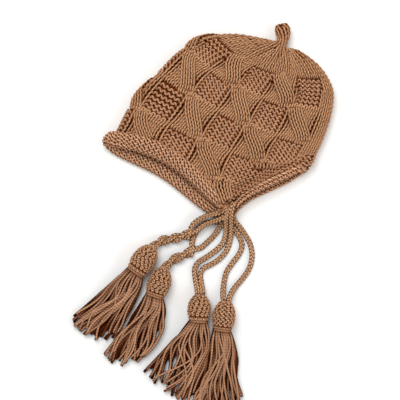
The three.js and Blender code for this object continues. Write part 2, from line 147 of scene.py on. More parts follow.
# Each tie strand's centre line, from the ear flap to the tassel head or to its twisted pair.
TIES = {
    "tie_1a": (
        (0.0009, -0.0833, 0.0145), (-0.0095, -0.0860, 0.0105), (-0.0180, -0.0900, 0.0086),
        (-0.0240, -0.0956, 0.0082), (-0.0274, -0.0996, 0.0056),
    ),
    "tie_1b": (
        (0.0032, -0.0882, 0.0134), (-0.0056, -0.0916, 0.0098), (-0.0140, -0.0954, 0.0084),
        (-0.0212, -0.1009, 0.0078), (-0.0250, -0.1049, 0.0055),
    ),
    "tie_2a": (
        (0.0, -0.0916, 0.0034), (-0.0113, -0.0924, 0.0024), (-0.0180, -0.0972, 0.0023),
        (-0.0212, -0.1034, 0.0023), (-0.0236, -0.1096, 0.0023), (-0.0256, -0.1154, 0.0034),
    ),
    "tie_2b": (
        (0.0044, -0.0922, 0.0042), (0.0012, -0.0964, 0.0026), (-0.0034, -0.1035, 0.0023),
        (-0.0104, -0.1107, 0.0023), (-0.0166, -0.1156, 0.0025), (-0.0224, -0.1198, 0.0040),
    ),
    "tie_3a": (
        (0.0065, -0.0891, 0.0140), (0.0068, -0.0972, 0.0074), (0.0063, -0.1040, 0.0034),
        (0.0045, -0.1104, 0.0023), (-0.0014, -0.1170, 0.0023), (-0.0104, -0.1236, 0.0023),
        (-0.0185, -0.1290, 0.0023), (-0.0214, -0.1344, 0.0023), (-0.0209, -0.1431, 0.0023),
        (-0.0194, -0.1510, 0.0044), (-0.0188, -0.1571, 0.0086),
    ),
    "tie_3b": (
        (0.0112, -0.0887, 0.0140), (0.0114, -0.0972, 0.0080), (0.0112, -0.1040, 0.0038),
        (0.0100, -0.1112, 0.0023), (0.0066, -0.1189, 0.0023), (0.0002, -0.1260, 0.0023),
        (-0.0070, -0.1306, 0.0023), (-0.0139, -0.1342, 0.0023), (-0.0162, -0.1388, 0.0023),
        (-0.0156, -0.1467, 0.0026), (-0.0147, -0.1520, 0.0050), (-0.0143, -0.1573, 0.0086),
    ),
    "tie_4a": (
        (0.0096, -0.0936, 0.0040), (0.0144, -0.0984, 0.0025), (0.0189, -0.1053, 0.0023),
        (0.0214, -0.1125, 0.0023), (0.0194, -0.1199, 0.0023), (0.0130, -0.1289, 0.0023),
        (0.0072, -0.1379, 0.0023), (0.0049, -0.1485, 0.0023), (0.0041, -0.1560, 0.0046),
        (0.0044, -0.1627, 0.0088),
    ),
    "tie_4b": (
        (0.0146, -0.0904, 0.0042), (0.0200, -0.0972, 0.0024), (0.0244, -0.1038, 0.0023),
        (0.0288, -0.1118, 0.0023), (0.0306, -0.1224, 0.0023), (0.0283, -0.1332, 0.0023),
        (0.0220, -0.1431, 0.0023), (0.0152, -0.1510, 0.0030), (0.0109, -0.1576, 0.0060),
        (0.0090, -0.1634, 0.0088),
    ),
}

# Where each strand comes out of its ear flap, before the first point of its route.
TIE_ROOTS = {
    "tie_1a": ((0.0058, -0.0806, 0.0158),),
    "tie_1b": ((0.0082, -0.0842, 0.0152),),
    "tie_2a": ((0.0066, -0.0886, 0.0042),),
    "tie_2b": ((0.0076, -0.0866, 0.0046),),
    "tie_3a": ((0.0098, -0.0735, 0.0172), (0.0090, -0.0775, 0.0176), (0.0074, -0.0830, 0.0164)),
    "tie_3b": ((0.0129, -0.0735, 0.0168), (0.0128, -0.0776, 0.0173), (0.0114, -0.0830, 0.0164)),
    "tie_4a": ((0.0095, -0.0875, 0.0046),),
    "tie_4b": ((0.0126, -0.0846, 0.0048),),
}

# Where two strands twist round each other: the line that they turn about.
TWISTS = {
    1: (
        (-0.0280, -0.1035, 0.0047), (-0.0410, -0.1072, 0.0046), (-0.0516, -0.1092, 0.0052),
        (-0.0582, -0.1134, 0.0090),
    ),
    2: (
        (-0.0256, -0.1192, 0.0046), (-0.0332, -0.1229, 0.0046), (-0.0420, -0.1270, 0.0054),
        (-0.0480, -0.1328, 0.0086),
    ),
}

# A head's outline from its top to its rim, as shares of its length and radius.
HEAD_OUTLINE = (
    (-0.05, 0.22), (0.0, 0.44), (0.08, 0.64), (0.2, 0.82),
    (0.38, 0.95), (0.56, 0.98), (0.73, 0.93), (0.89, 0.83),
)

# A skirt's section from the rim to the cut ends: along, its lowest line and its highest line.
SKIRT_SECTION = (
    (0.0, 0.0024, 0.0182),
    (0.22, 0.0002, 0.0156),
    (0.5, 0.0001, 0.0122),
    (0.78, 0.0001, 0.0104),
    (1.0, 0.0001, 0.0084),
)


# Curves


def catmull(points: np.ndarray, position: np.ndarray) -> np.ndarray:
    """Reads a uniform Catmull-Rom curve.

    Args:
        points: control points, shaped (k, d), or (n, k, d) with one set for each position.
        position: places along the curve, from 0 at the first point to k - 1 at the last.

    Returns:
        The points there, shaped (n, d).
    """
    points = np.asarray(points, float)
    position = np.asarray(position, float)
    if points.ndim == 2:
        points = np.broadcast_to(points, (len(position), *points.shape))
    first = 2 * points[:, :1] - points[:, 1:2]
    last = 2 * points[:, -1:] - points[:, -2:-1]
    padded = np.concatenate([first, points, last], axis=1)
    segment = np.clip(np.floor(position).astype(int), 0, points.shape[1] - 2)
    part = (position - segment)[:, None]
    rows = np.arange(len(position))
    before, start, end, after = (padded[rows, segment + k] for k in range(4))
    return 0.5 * (
        2 * start
        + (end - before) * part
        + (2 * before - 5 * start + 4 * end - after) * part**2
        + (3 * start - before - 3 * end + after) * part**3
    )


def through(start: np.ndarray, middle: np.ndarray, end: np.ndarray, share: np.ndarray) -> np.ndarray:
    """Reads the quadratic curve through three points.

    Args:
        start: its point at share 0.
        middle: its point at share 0.5.
        end: its point at share 1.
        share: places along it, shaped (n,).

    Returns:
        The points there, shaped (n, d).
    """
    share = np.asarray(share, float)[:, None]
    return (
        (1 - share) * (1 - 2 * share) * np.asarray(start)
        + 4 * share * (1 - share) * np.asarray(middle)
        + share * (2 * share - 1) * np.asarray(end)
    )


def unit(vectors: np.ndarray) -> np.ndarray:
    """Scales vectors to length one."""
    return vectors / np.maximum(np.linalg.norm(vectors, axis=-1, keepdims=True), SHORTEST)


def smooth_step(share: np.ndarray) -> np.ndarray:
    """Eases from 0 to 1."""
    share = np.clip(share, 0, 1)
    return share * share * (3 - 2 * share)


def ramp(value: np.ndarray, start: float, length: float) -> np.ndarray:
    """Eases from 0 at a start to 1 a length further on."""
    return smooth_step((value - start) / length)


def square_off(value: np.ndarray, middle: float, spread: float) -> np.ndarray:
    """Squares how far values lie from a middle, in spreads."""
    return ((value - middle) / spread) ** 2


def lengths_along(points: np.ndarray) -> np.ndarray:
    """Measures how far along a polyline each of its points lies."""
    return np.concatenate([[0.0], np.cumsum(np.linalg.norm(np.diff(points, axis=0), axis=1))])


def line_length(points: np.ndarray) -> float:
    """Measures a polyline."""
    return float(np.linalg.norm(np.diff(points, axis=0), axis=1).sum())


def resampled(points: np.ndarray, count: int) -> np.ndarray:
    """Places a number of evenly spaced points along a polyline."""
    reached = lengths_along(points)
    wanted = np.linspace(0, reached[-1], count)
    return np.stack([np.interp(wanted, reached, column) for column in points.T], axis=1)


def heading_at(points: np.ndarray, position: np.ndarray) -> np.ndarray:
    """Says which way a Catmull-Rom curve runs at places along it."""
    nudge = 0.05
    ahead = catmull(points, np.minimum(position + nudge, len(points) - 1))
    return unit(ahead - catmull(points, np.maximum(position - nudge, 0)))


def line_frame(line: np.ndarray) -> tuple[np.ndarray, np.ndarray, np.ndarray]:
    """Gives the directions along a lying line, to its side and over it, at each of its points."""
    along = unit(np.gradient(line, axis=0))
    side = unit(np.cross(along, UPWARD))
    return along, side, np.cross(side, along)


def between(at: np.ndarray, low: float, high: float, ends: Sequence[np.ndarray]) -> np.ndarray:
    """Mixes two ends by how far places lie from a low knot to a high one."""
    share = (at - low) / (high - low)
    return (1 - share) * ends[0] + share * ends[1]


def smooth_route(points: Sequence[Sequence[float]], count: int) -> np.ndarray:
    """Runs a centripetal Catmull-Rom curve through a few points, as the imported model's cords do.

    Args:
        points: the route's points.
        count: how many evenly spaced points to return.

    Returns:
        The smooth route, shaped (count, 3).
    """
    route = np.asarray(points, float)
    route = np.concatenate([2 * route[:1] - route[1:2], route, 2 * route[-1:] - route[-2:-1]])
    steps, samples = 24, []
    for before, start, end, after in zip(route, route[1:], route[2:], route[3:]):
        spans = ((before, start), (start, end), (end, after))
        gaps = [max(math.sqrt(line_length(np.array(span))), SHORTEST_SPAN) for span in spans]
        knots = np.cumsum([0.0, *gaps])
        at = np.linspace(knots[1], knots[2], steps, endpoint=False)[:, None]
        first = [between(at, knots[k], knots[k + 1], span) for k, span in enumerate(spans)]
        second = [between(at, knots[k], knots[k + 2], first[k : k + 2]) for k in range(2)]
        samples.append(between(at, knots[1], knots[2], second))
    samples.append(route[-2][None])
    return resampled(np.concatenate(samples), count)


def bonnet_to_part(points: np.ndarray) -> np.ndarray:
    """Turns points from the bonnet's plan into the part's frame and puts them in place."""
    cos, sin = math.cos(BONNET_TURN), math.sin(BONNET_TURN)
    turned = np.array(points, float)
    turned[..., 0] = cos * points[..., 0] - sin * points[..., 1]
    turned[..., 1] = sin * points[..., 0] + cos * points[..., 1]
    return turned + MODEL_PLACE


# Finishes

Colour = tuple[float, float, float]
Span = tuple[float, float]
SocketValue = float | Sequence[float] | bpy.types.NodeSocket


@dataclass(frozen=True)
class NodeGraph:
    """A material's nodes, with short ways to add the few kinds that the finishes use."""

    material: bpy.types.Material

    @classmethod
    def start(cls, name: str, colour: Colour, sockets: dict[str, SocketValue]) -> "NodeGraph":
        """Starts a material.

        Args:
            name: the material's name.
            colour: its colour where nodes aren't shown.
            sockets: values for the shader's own sockets.

        Returns:
            The new material's graph.
        """
        made = bpy.data.materials.new(name)
        made.use_nodes = True
        made.diffuse_color = (*colour, 1)
        graph = cls(made)
        for socket, value in sockets.items():
            graph.shade(socket, value)
        return graph

    def shade(self, socket: str, value: SocketValue) -> None:
        """Sets or links one of the shader's sockets."""
        self._feed(self.material.node_tree.nodes["Principled BSDF"].inputs[socket], value)

    def _feed(self, socket: bpy.types.NodeSocket, value: SocketValue) -> None:
        """Links a socket if the value is another one, and sets it otherwise."""
        if isinstance(value, bpy.types.NodeSocket):
            self.material.node_tree.links.new(value, socket)
        else:
            socket.default_value = value

    def add(self, kind: str, inputs: dict[int | str, SocketValue], **settings: str) -> bpy.types.Node:
        """Adds a node.

        Args:
            kind: the node's type.
            inputs: what each input is set or linked to.
            settings: the node's own settings.

        Returns:
            The new node.
        """
        node = self.material.node_tree.nodes.new(f"ShaderNode{kind}")
        for name, value in settings.items():
            setattr(node, name, value)
        for socket, value in inputs.items():
            self._feed(node.inputs[socket], value)
        return node

    def math(self, operation: str, *values: float | bpy.types.NodeSocket) -> bpy.types.NodeSocket:
        """Works out a number from one to three others."""
        return self.add("Math", dict(enumerate(values)), operation=operation).outputs[0]

    def times(self, first: bpy.types.NodeSocket, second: SocketValue) -> bpy.types.NodeSocket:
        """Multiplies two vectors or colours."""
        return self.add("VectorMath", {0: first, 1: second}, operation="MULTIPLY").outputs[0]

    def mix(self, factor: bpy.types.NodeSocket, low: Colour, high: Colour) -> bpy.types.NodeSocket:
        """Mixes two colours, from the first at 0 to the second at 1."""
        sockets = {"Factor": factor, "A": (*low, 1), "B": (*high, 1)}
        return self.add("Mix", sockets, data_type="RGBA").outputs["Result"]

    def noise(self, place: bpy.types.NodeSocket, scale: float, detail: float) -> bpy.types.NodeSocket:
        """Adds a noise, from 0 to 1."""
        return self.add("TexNoise", {"Vector": place, "Scale": scale, "Detail": detail}).outputs["Fac"]

    def bump(
        self, height: bpy.types.NodeSocket, strength: float, distance: float, **under: bpy.types.NodeSocket
    ) -> bpy.types.NodeSocket:
        """Raises a surface by a height, over another bump where there is one."""
        sockets = {"Height": height, "Strength": strength, "Distance": distance}
        return self.add("Bump", {**sockets, **under}).outputs[0]

    def attribute(self, name: str) -> bpy.types.NodeSocket:
        """Reads one of the mesh's attributes."""
        return self.add("Attribute", {}, attribute_name=name).outputs["Fac"]

    def on_yarn(self) -> bpy.types.NodeSocket:
        """Reads the place along and round the yarn."""
        return self.add("UVMap", {}, uv_map="yarn").outputs["UV"]

    def in_part(self) -> bpy.types.NodeSocket:
        """Reads the place in the part's frame."""
        return self.add("TexCoord", {}).outputs["Object"]


@dataclass(frozen=True)
class YarnFinish:
    """Spun wool: plies that wind round the yarn, loose fibres, a soft sheen, uneven dye, and painted light
    and shade.

    Each shade is the colour's level where its pattern is 0, and how much the pattern adds where it is 1:
    uneven dye, and painted shade in the grooves between the plies.
    """

    name: str
    # Colours in painted light and shade: the yarn's lit top, its half-shaded middle and its colour in
    # painted shade.
    top: Colour
    middle: Colour
    painted_shade: Colour
    middle_at: float = 0.56
    pink: Colour = (1.01, 0.99, 1.04)
    plies: float = 3.0
    ply_pitch: float = 0.0027
    ply_bump: Span = (1.0, 0.0004)
    # Painted shade in the grooves between the plies.
    ply_groove_painted_shade: Span = (0.73, 0.38)
    fibre_scale: Colour = (900.0, 22.0, 1.0)
    fibre_detail: float = 3.0
    fibre_bump: Span = (0.5, 0.00025)
    fibre_shade: Span = (0.8, 0.4)
    patch_noise: Span = (160.0, 4.0)
    patch_shade: Span = (0.88, 0.24)
    tone_shade: Span = (1.0, 0.13)
    roughness: float = 0.94
    specular: float = 0.015
    sheen: float = 0.01
    sheen_roughness: float = 0.55
    sheen_tint: Colour = (1.0, 0.80, 0.64)

    def material(self) -> bpy.types.Material:
        """Builds the material, once.

        Returns:
            The material with this finish's name.
        """
        found = bpy.data.materials.get(self.name)
        if found is not None:
            return found
        sockets = {
            "Roughness": self.roughness,
            "Specular IOR Level": self.specular,
            "Sheen Weight": self.sheen,
            "Sheen Roughness": self.sheen_roughness,
            "Sheen Tint": (*self.sheen_tint, 1),
        }
        graph = NodeGraph.start(self.name, self.middle, sockets)
        ply = self._ply_wave(graph)
        fibre = graph.noise(graph.times(graph.on_yarn(), self.fibre_scale), 1.0, self.fibre_detail)
        graph.shade("Base Color", self._dye(graph, ply, fibre))
        fine = graph.bump(fibre, *self.fibre_bump)
        graph.shade("Normal", graph.bump(ply, *self.ply_bump, Normal=fine))
        return graph.material

    def _ply_wave(self, graph: NodeGraph) -> bpy.types.NodeSocket:
        """Makes the plies' height, which winds round the yarn.

        Args:
            graph: the material's nodes.

        Returns:
            A socket from 0 in the groove between two plies to 1 on a ply.
        """
        split = graph.add("SeparateXYZ", {0: graph.on_yarn()})
        along = graph.math("MULTIPLY", split.outputs["X"], TURN / self.ply_pitch)
        around = graph.math("MULTIPLY", split.outputs["Y"], TURN * self.plies)
        half = graph.math("MULTIPLY", graph.math("ADD", along, around), 0.5)
        return graph.math("ABSOLUTE", graph.math("SINE", half))

    def _dye(
        self, graph: NodeGraph, ply: bpy.types.NodeSocket, fibre: bpy.types.NodeSocket
    ) -> bpy.types.NodeSocket:
        """Mixes the colour: painted light and shade, painted shade between the plies, and dye that is uneven
        from strand to strand.

        Args:
            graph: the material's nodes.
            ply: the plies' height.
            fibre: the fibres' height.

        Returns:
            The colour.
        """
        # Painted light and shade: the mesh's open attribute picks the colour, from painted shade to the lit
        # top.
        ramp = graph.add("ValToRGB", {"Fac": graph.attribute("open")})
        stops = ramp.color_ramp.elements
        stops[0].color = (*self.painted_shade, 1)
        stops[1].color = (*self.top, 1)
        stops.new(self.middle_at).color = (*self.middle, 1)
        patches = graph.noise(graph.in_part(), *self.patch_noise)
        # Painted shade in the grooves between the plies, then uneven dye from patches, fibres and each
        # strand's tone.
        value = graph.math("MULTIPLY_ADD", ply, self.ply_groove_painted_shade[1], self.ply_groove_painted_shade[0])
        others = (
            (patches, self.patch_shade),
            (fibre, self.fibre_shade),
            (graph.attribute("tone"), self.tone_shade),
        )
        for pattern, (level, swing) in others:
            value = graph.math("MULTIPLY", value, graph.math("MULTIPLY_ADD", pattern, swing, level))
        tinted = graph.times(ramp.outputs["Color"], graph.mix(graph.attribute("pink"), (1, 1, 1), self.pink))
        return graph.add("VectorMath", {0: tinted, "Scale": value}, operation="SCALE").outputs[0]


@dataclass(frozen=True)
class PlainFinish:
    """A plain matt surface with a slight mottle, for the floor and for the painted shade that shows between
    the yarns.
    """

    name: str
    colour: Colour
    mottle: float = 0.0
    mottle_noise: Span = (420.0, 2.0)
    mottle_bump: Span = (0.8, 0.0005)
    roughness: float = 0.95
    specular: float = 0.1

    def material(self) -> bpy.types.Material:
        """Builds the material, once.

        Returns:
            The material with this finish's name.
        """
        found = bpy.data.materials.get(self.name)
        if found is not None:
            return found
        sockets = {
            "Roughness": self.roughness,
            "Specular IOR Level": self.specular,
            "Base Color": (*self.colour, 1),
        }
        graph = NodeGraph.start(self.name, self.colour, sockets)
        if self.mottle > 0:
            noise = graph.noise(graph.in_part(), *self.mottle_noise)
            dark = tuple(part * (1 - self.mottle) for part in self.colour)
            graph.shade("Base Color", graph.mix(noise, dark, self.colour))
            graph.shade("Normal", graph.bump(noise, *self.mottle_bump))
        return graph.material


# Each yarn's colours: its lit top, its half-shaded middle and its colour in painted shade.
KNIT_WOOL = YarnFinish("knit_wool", (0.54, 0.290, 0.155), (0.172, 0.042, 0.006), (0.075, 0.011, 0.001))
ROLL_WOOL = YarnFinish("roll_wool", (0.71, 0.418, 0.243), (0.220, 0.065, 0.013), (0.062, 0.009, 0.001))
TIE_WOOL = YarnFinish("tie_wool", (0.59, 0.347, 0.196), (0.190, 0.058, 0.013), (0.055, 0.008, 0.001))
TASSEL_WOOL = YarnFinish("tassel_wool", (0.52, 0.278, 0.160), (0.098, 0.019, 0.003), (0.024, 0.003, 0.001))
# The fabric's inner side, painted dark as the shade that shows between the stitches.
INNER_PAINTED_SHADE = PlainFinish("inner_wool", (0.085, 0.016, 0.001), mottle=0.5)
FLOOR_PAINT = PlainFinish("floor_paint", (0.93, 0.93, 0.92))


# Meshes


@dataclass
class TubeMesh:
    """Gathers round tubes and makes them one mesh with a yarn UV map, a tone for each strand and painted
    light and shade.
    """

    sides: int = 6
    # Painted light and shade: the level on a ring's lit upper side, and how much standing out lightens it.
    painted_light_middle: float = 0.84
    painted_light_swing: float = 0.3
    points: list[np.ndarray] = field(default_factory=list)
    faces: list[np.ndarray] = field(default_factory=list)
    caps: list[range] = field(default_factory=list)
    uvs: list[np.ndarray] = field(default_factory=list)
    # Per point: the strand's tone, painted light and shade kept under the name open, and how pinkish the dye
    # is.
    values: dict[str, list[np.ndarray]] = field(default_factory=lambda: {"tone": [], "open": [], "pink": []})
    count: int = 0

    def add(
        self,
        line: np.ndarray,
        outward: np.ndarray,
        radius: float | np.ndarray,
        closed: bool = False,
        tone: float | np.ndarray = 0.0,
        level: float | np.ndarray = 0.0,
        pink: float | np.ndarray = 0.0,
        rounding: float | np.ndarray = 0.42,
    ) -> None:
        """Adds one tube.

        Args:
            line: the tube's centre line, shaped (n, 3).
            outward: a direction that each ring starts from, one for all or one for each point.
            radius: one radius for all or one for each point.
            closed: whether the last point joins the first.
            tone: how light this strand is, from -1 to 1, one for all or one for each point.
            level: how far it stands out of its neighbours, from -1 to 1; it is painted lighter where it
                stands out and in painted shade where it sinks.
            pink: how pinkish its dye looks, from 0 to 1.
            rounding: how fast its sides and underside turn to painted shade.
        """
        count = len(line)
        if closed:
            along = unit(np.roll(line, -1, axis=0) - np.roll(line, 1, axis=0))
            reached = lengths_along(np.concatenate([line, line[:1]]))
        else:
            along = unit(np.gradient(line, axis=0))
            reached = lengths_along(line)
        radius, tone, level, pink, rounding = (
            np.broadcast_to(np.asarray(value, float), (count,))[:, None]
            for value in (radius, tone, level, pink, rounding)
        )
        side = unit(np.cross(along, np.broadcast_to(outward, line.shape)))
        over = np.cross(side, along)
        turns = TURN * np.arange(self.sides) / self.sides
        ring = side[:, None] * np.cos(turns)[:, None] + over[:, None] * np.sin(turns)[:, None]
        self.points.append((line[:, None] + ring * radius[:, None]).reshape(-1, 3))
        bands = count if closed else count - 1
        row, here = np.arange(bands)[:, None], np.arange(self.sides)
        low, high = (self.count + at * self.sides for at in (row, (row + 1) % count))
        after = (here + 1) % self.sides
        quads = np.stack([low + here, low + after, high + after, high + here], axis=-1)
        self.faces.append(quads.reshape(-1, 4))
        near, far = reached[:bands, None], reached[1 : bands + 1, None]
        left, right = here / self.sides, (here + 1) / self.sides
        places = ((near, left), (near, right), (far, right), (far, left))
        corners = [np.stack(np.broadcast_arrays(*place), axis=-1) for place in places]
        self.uvs.append(np.stack(corners, axis=2).reshape(-1, 2))
        # Painted light and shade: lighter on each ring's upper side and where the yarn stands out, darker on
        # its sides, its underside and where it sinks.
        painted_light = self.painted_light_middle - rounding * (1 - np.sin(turns)) + self.painted_light_swing * level
        self.values["open"].append(np.clip(painted_light, 0, 1).ravel())
        self.values["tone"].append(np.repeat(tone, self.sides))
        self.values["pink"].append(np.repeat(pink, self.sides))
        start = self.count
        self.count += count * self.sides
        if not closed:
            self.caps.append(range(start, start + self.sides)[::-1])
            self.caps.append(range(self.count - self.sides, self.count))

    def build(self, name: str, finish: YarnFinish) -> bpy.types.Object:
        """Makes the mesh object.

        Args:
            name: the piece's name.
            finish: what it is made of.

        Returns:
            The new object, linked to the scene.
        """
        points, quads = np.concatenate(self.points), np.concatenate(self.faces)
        points[:, 2] = np.maximum(points[:, 2], FLOOR_CLEARANCE)
        loops = np.concatenate([quads.ravel(), np.array(self.caps, int).ravel()])
        sizes = np.concatenate([np.full(len(quads), 4), np.full(len(self.caps), self.sides)])
        starts = np.concatenate([[0], np.cumsum(sizes)[:-1]])
        mesh = bpy.data.meshes.new(name)
        mesh.vertices.add(len(points))
        mesh.vertices.foreach_set("co", points.ravel())
        mesh.loops.add(len(loops))
        mesh.loops.foreach_set("vertex_index", loops.astype(np.int32))
        mesh.polygons.add(len(sizes))
        mesh.polygons.foreach_set("loop_start", starts.astype(np.int32))
        mesh.polygons.foreach_set("loop_total", sizes.astype(np.int32))
        mesh.polygons.foreach_set("use_smooth", np.ones(len(sizes), bool))
        layer = mesh.uv_layers.new(name="yarn")
        spread = np.concatenate([*self.uvs, np.zeros((len(self.caps) * self.sides, 2))])
        layer.data.foreach_set("uv", spread.astype(np.float32).ravel())
        for key, parts in self.values.items():
            attribute = mesh.attributes.new(key, "FLOAT", "POINT")
            attribute.data.foreach_set("value", np.concatenate(parts).astype(np.float32))
        mesh.update(calc_edges=True)
        return put_in_scene(name, mesh, finish)


def put_in_scene(name: str, mesh: bpy.types.Mesh, finish: YarnFinish | PlainFinish) -> bpy.types.Object:
    """Gives a mesh its finish and puts it in the scene as an object."""
    mesh.materials.append(finish.material())
    made = bpy.data.objects.new(name, mesh)
    bpy.context.scene.collection.objects.link(made)
    return made


def shell_object(name: str, rings: np.ndarray, finish: PlainFinish) -> bpy.types.Object:
    """Makes a closed body through rings of points, capped at both ends.

    Args:
        name: the piece's name.
        rings: shaped (rows, around, 3).
        finish: what it is made of.

    Returns:
        The new object, with its faces outward.
    """
    rows, around = rings.shape[:2]
    points = rings.reshape(-1, 3).copy()
    points[:, 2] = np.maximum(points[:, 2], FLOOR_CLEARANCE)
    faces = [
        (low + k, low + after, low + around + after, low + around + k)
        for low in range(0, (rows - 1) * around, around)
        for k, after in enumerate((*range(1, around), 0))
    ]
    faces += [tuple(range(around))[::-1], tuple(range((rows - 1) * around, rows * around))]
    mesh = bpy.data.meshes.new(name)
    mesh.from_pydata(points.tolist(), [], faces)
    made = put_in_scene(name, mesh, finish)
    bpy.ops.object.select_all(action="DESELECT")
    made.select_set(True)
    bpy.context.view_layer.objects.active = made
    bpy.ops.object.mode_set(mode="EDIT")
    bpy.ops.mesh.select_all(action="SELECT")
    bpy.ops.mesh.normals_make_consistent(inside=False)
    bpy.ops.object.mode_set(mode="OBJECT")
    bpy.ops.object.shade_smooth()
    made.select_set(False)
    return made


def finished(piece: bpy.types.Object, slot: str, *nodes: str) -> bpy.types.Object:
    """Puts a piece on the part's body and hides the solids that it stands for.

    Args:
        piece: the finished piece.
        slot: the record's material slot; not used.
        nodes: the solids that it replaces.

    Returns:
        The piece.
    """
    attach(piece, BODY)
    if nodes:
        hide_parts(*nodes)
    LOG.info("%s: %d faces", piece.name, len(piece.data.polygons))
    return piece


# Knitting


class Face(Enum):
    """Which side of a stitch shows."""

    KNIT = 1
    PURL = -1


class Surface(Protocol):
    """A surface that fabric lies on, read in columns and rows of stitches."""

    def place(self, column: np.ndarray, row: np.ndarray) -> np.ndarray:
        """Gives the points at columns and rows."""


@dataclass
class Course:
    """One row of stitches: where each stands, how big it is and which side of it shows."""

    column: np.ndarray
    row: np.ndarray
    height: np.ndarray
    face: np.ndarray
    face_above: np.ndarray
    sink: np.ndarray
    period: float = 0.0

    @property
    def closed(self) -> bool:
        """Says whether the course runs right round."""
        return self.period > 0

    @classmethod
    def alike(
        cls, column: np.ndarray, row: float, height: float | np.ndarray, face: Face, period: float = 0.0
    ) -> "Course":
        """Makes a course whose stitches all show the same side and lie on the surface.

        Args:
            column: where each stitch stands.
            row: the row of them all.
            height: how tall they are.
            face: the side that shows, here and in the course above.
            period: the columns in a full turn, or 0 for an open course.

        Returns:
            The course.
        """
        ones = np.ones(len(column))
        return cls(column, row * ones, height * ones, face.value * ones, face.value * ones, 0 * ones, period)


@dataclass(frozen=True)
class Loops:
    """How a yarn runs through its stitches."""

    radius: float = 0.00116
    thin: float = 0.218
    thinnest: float = 0.6
    # How fast the yarn's sides and underside turn to painted shade.
    rounding: float = 0.55
    depth: float = 0.00112
    spread: float = 0.145
    lean: float = 0.08
    overlap: float = 0.0022
    samples: int = 12

    def line(self, course: Course) -> tuple[np.ndarray, np.ndarray, np.ndarray]:
        """Follows the yarn through one course.

        Args:
            course: the course.

        Returns:
            Columns, rows and lifts off the surface, one for each point of the yarn.
        """
        column, period = course.column, course.period
        before = np.roll(column, 1)
        after = np.roll(column, -1)
        if course.closed:
            before[0] -= period
            after[-1] += period
        elif len(column) > 1:
            before[0] = 2 * column[0] - column[1]
            after[-1] = 2 * column[-1] - column[-2]
        else:
            before, after = column - 1, column + 1
        step = TURN / self.samples
        angle = -math.pi + step * np.arange(self.samples)
        left = (column - before)[:, None] / 2
        right = (after - column)[:, None] / 2
        toward_foot = np.sin(angle / 2) ** 2

        def blended(values: np.ndarray) -> np.ndarray:
            """Eases a stitch's value into its neighbours' at its feet."""
            low, high = np.roll(values, 1), np.roll(values, -1)
            if not course.closed:
                low[0], high[-1] = values[0], values[-1]
            near = np.where(angle[None] < 0, low[:, None], high[:, None])
            return values[:, None] + toward_foot[None] * 0.5 * (near - values[:, None])

        width = blended((after - before) / 2)
        height = blended(course.height)
        linear = np.where(angle[None] < 0, left, right) * angle[None] / math.pi
        bow = width * (self.spread * np.sin(2 * angle) - self.lean * np.cos(angle))[None]
        columns = column[:, None] + linear + bow
        half = 0.5 * (height + self.overlap) / height
        rows = blended(course.row) + half * np.cos(angle)[None]
        legs = course.face[:, None] * np.sin(angle)[None] ** 2
        ends = np.where(np.cos(angle)[None] > 0, course.face_above[:, None], blended(course.face))
        lifts = self.depth * (legs - ends * np.cos(angle)[None] ** 2) + blended(course.sink)
        return columns.ravel(), rows.ravel(), lifts.ravel()

    def radii(self, width: np.ndarray) -> np.ndarray:
        """Thins the yarn where the stitches are drawn narrow."""
        radii = np.clip(self.thin * width, self.thinnest * self.radius, self.radius)
        return np.repeat(radii, self.samples)

    def level(self, course: Course, lifts: np.ndarray) -> np.ndarray:
        """Says how far each point of the yarn stands out of its course, from -1 to 1."""
        return (lifts - np.repeat(course.sink, self.samples)) / self.depth


def lay_course(mesh: TubeMesh, loops: Loops, course: Course, surface: Surface, tone: float) -> None:
    """Adds one course's yarn to a mesh.

    Args:
        mesh: the mesh.
        loops: how the yarn runs.
        course: the course.
        surface: what it lies on.
        tone: how light this yarn is.
    """
    columns, rows, lifts = loops.line(course)
    points, normals = on_surface(surface, columns, rows)
    mesh.add(
        points + normals * lifts[:, None],
        normals,
        loops.radius,
        closed=course.closed,
        tone=tone,
        level=loops.level(course, lifts),
        pink=np.repeat(course.face < 0, loops.samples),
        rounding=loops.rounding,
    )


def on_surface(surface: Surface, column: np.ndarray, row: np.ndarray) -> tuple[np.ndarray, np.ndarray]:
    """Reads a surface and its outward direction.

    Args:
        surface: the surface.
        column: columns, shaped (n,).
        row: rows, shaped (n,).

    Returns:
        Points and unit normals, each shaped (n, 3).
    """
    nudge = 0.25
    points = surface.place(column, row)
    across = surface.place(column + nudge, row) - surface.place(column - nudge, row)
    up = surface.place(column, row + nudge) - surface.place(column, row - nudge)
    return points, unit(np.cross(across, up))


def stitch_size(surface: Surface, column: np.ndarray, row: np.ndarray) -> tuple[np.ndarray, np.ndarray]:
    """Measures how wide a column and how tall a row is.

    Args:
        surface: the surface.
        column: columns, shaped (n,).
        row: rows, shaped (n,).

    Returns:
        Widths and heights in metres, each shaped (n,).
    """
    across = surface.place(column + 0.5, row) - surface.place(column - 0.5, row)
    up = surface.place(column, row + 0.5) - surface.place(column, row - 0.5)
    return np.linalg.norm(across, axis=1), np.linalg.norm(up, axis=1)


# The crown


def fold_share(angle: np.ndarray) -> np.ndarray:
    """Says how far angles round the bag lie from the brow fold, 0, to the nape fold, 1."""
    return (1 - np.cos(angle)) / 2


def at_folds(values: Sequence[float], share: np.ndarray) -> np.ndarray:
    """Reads a value that is given at the brow fold, the middle and the nape fold."""
    return through(*(np.atleast_1d(value)[:, None] for value in values), share)[:, 0]


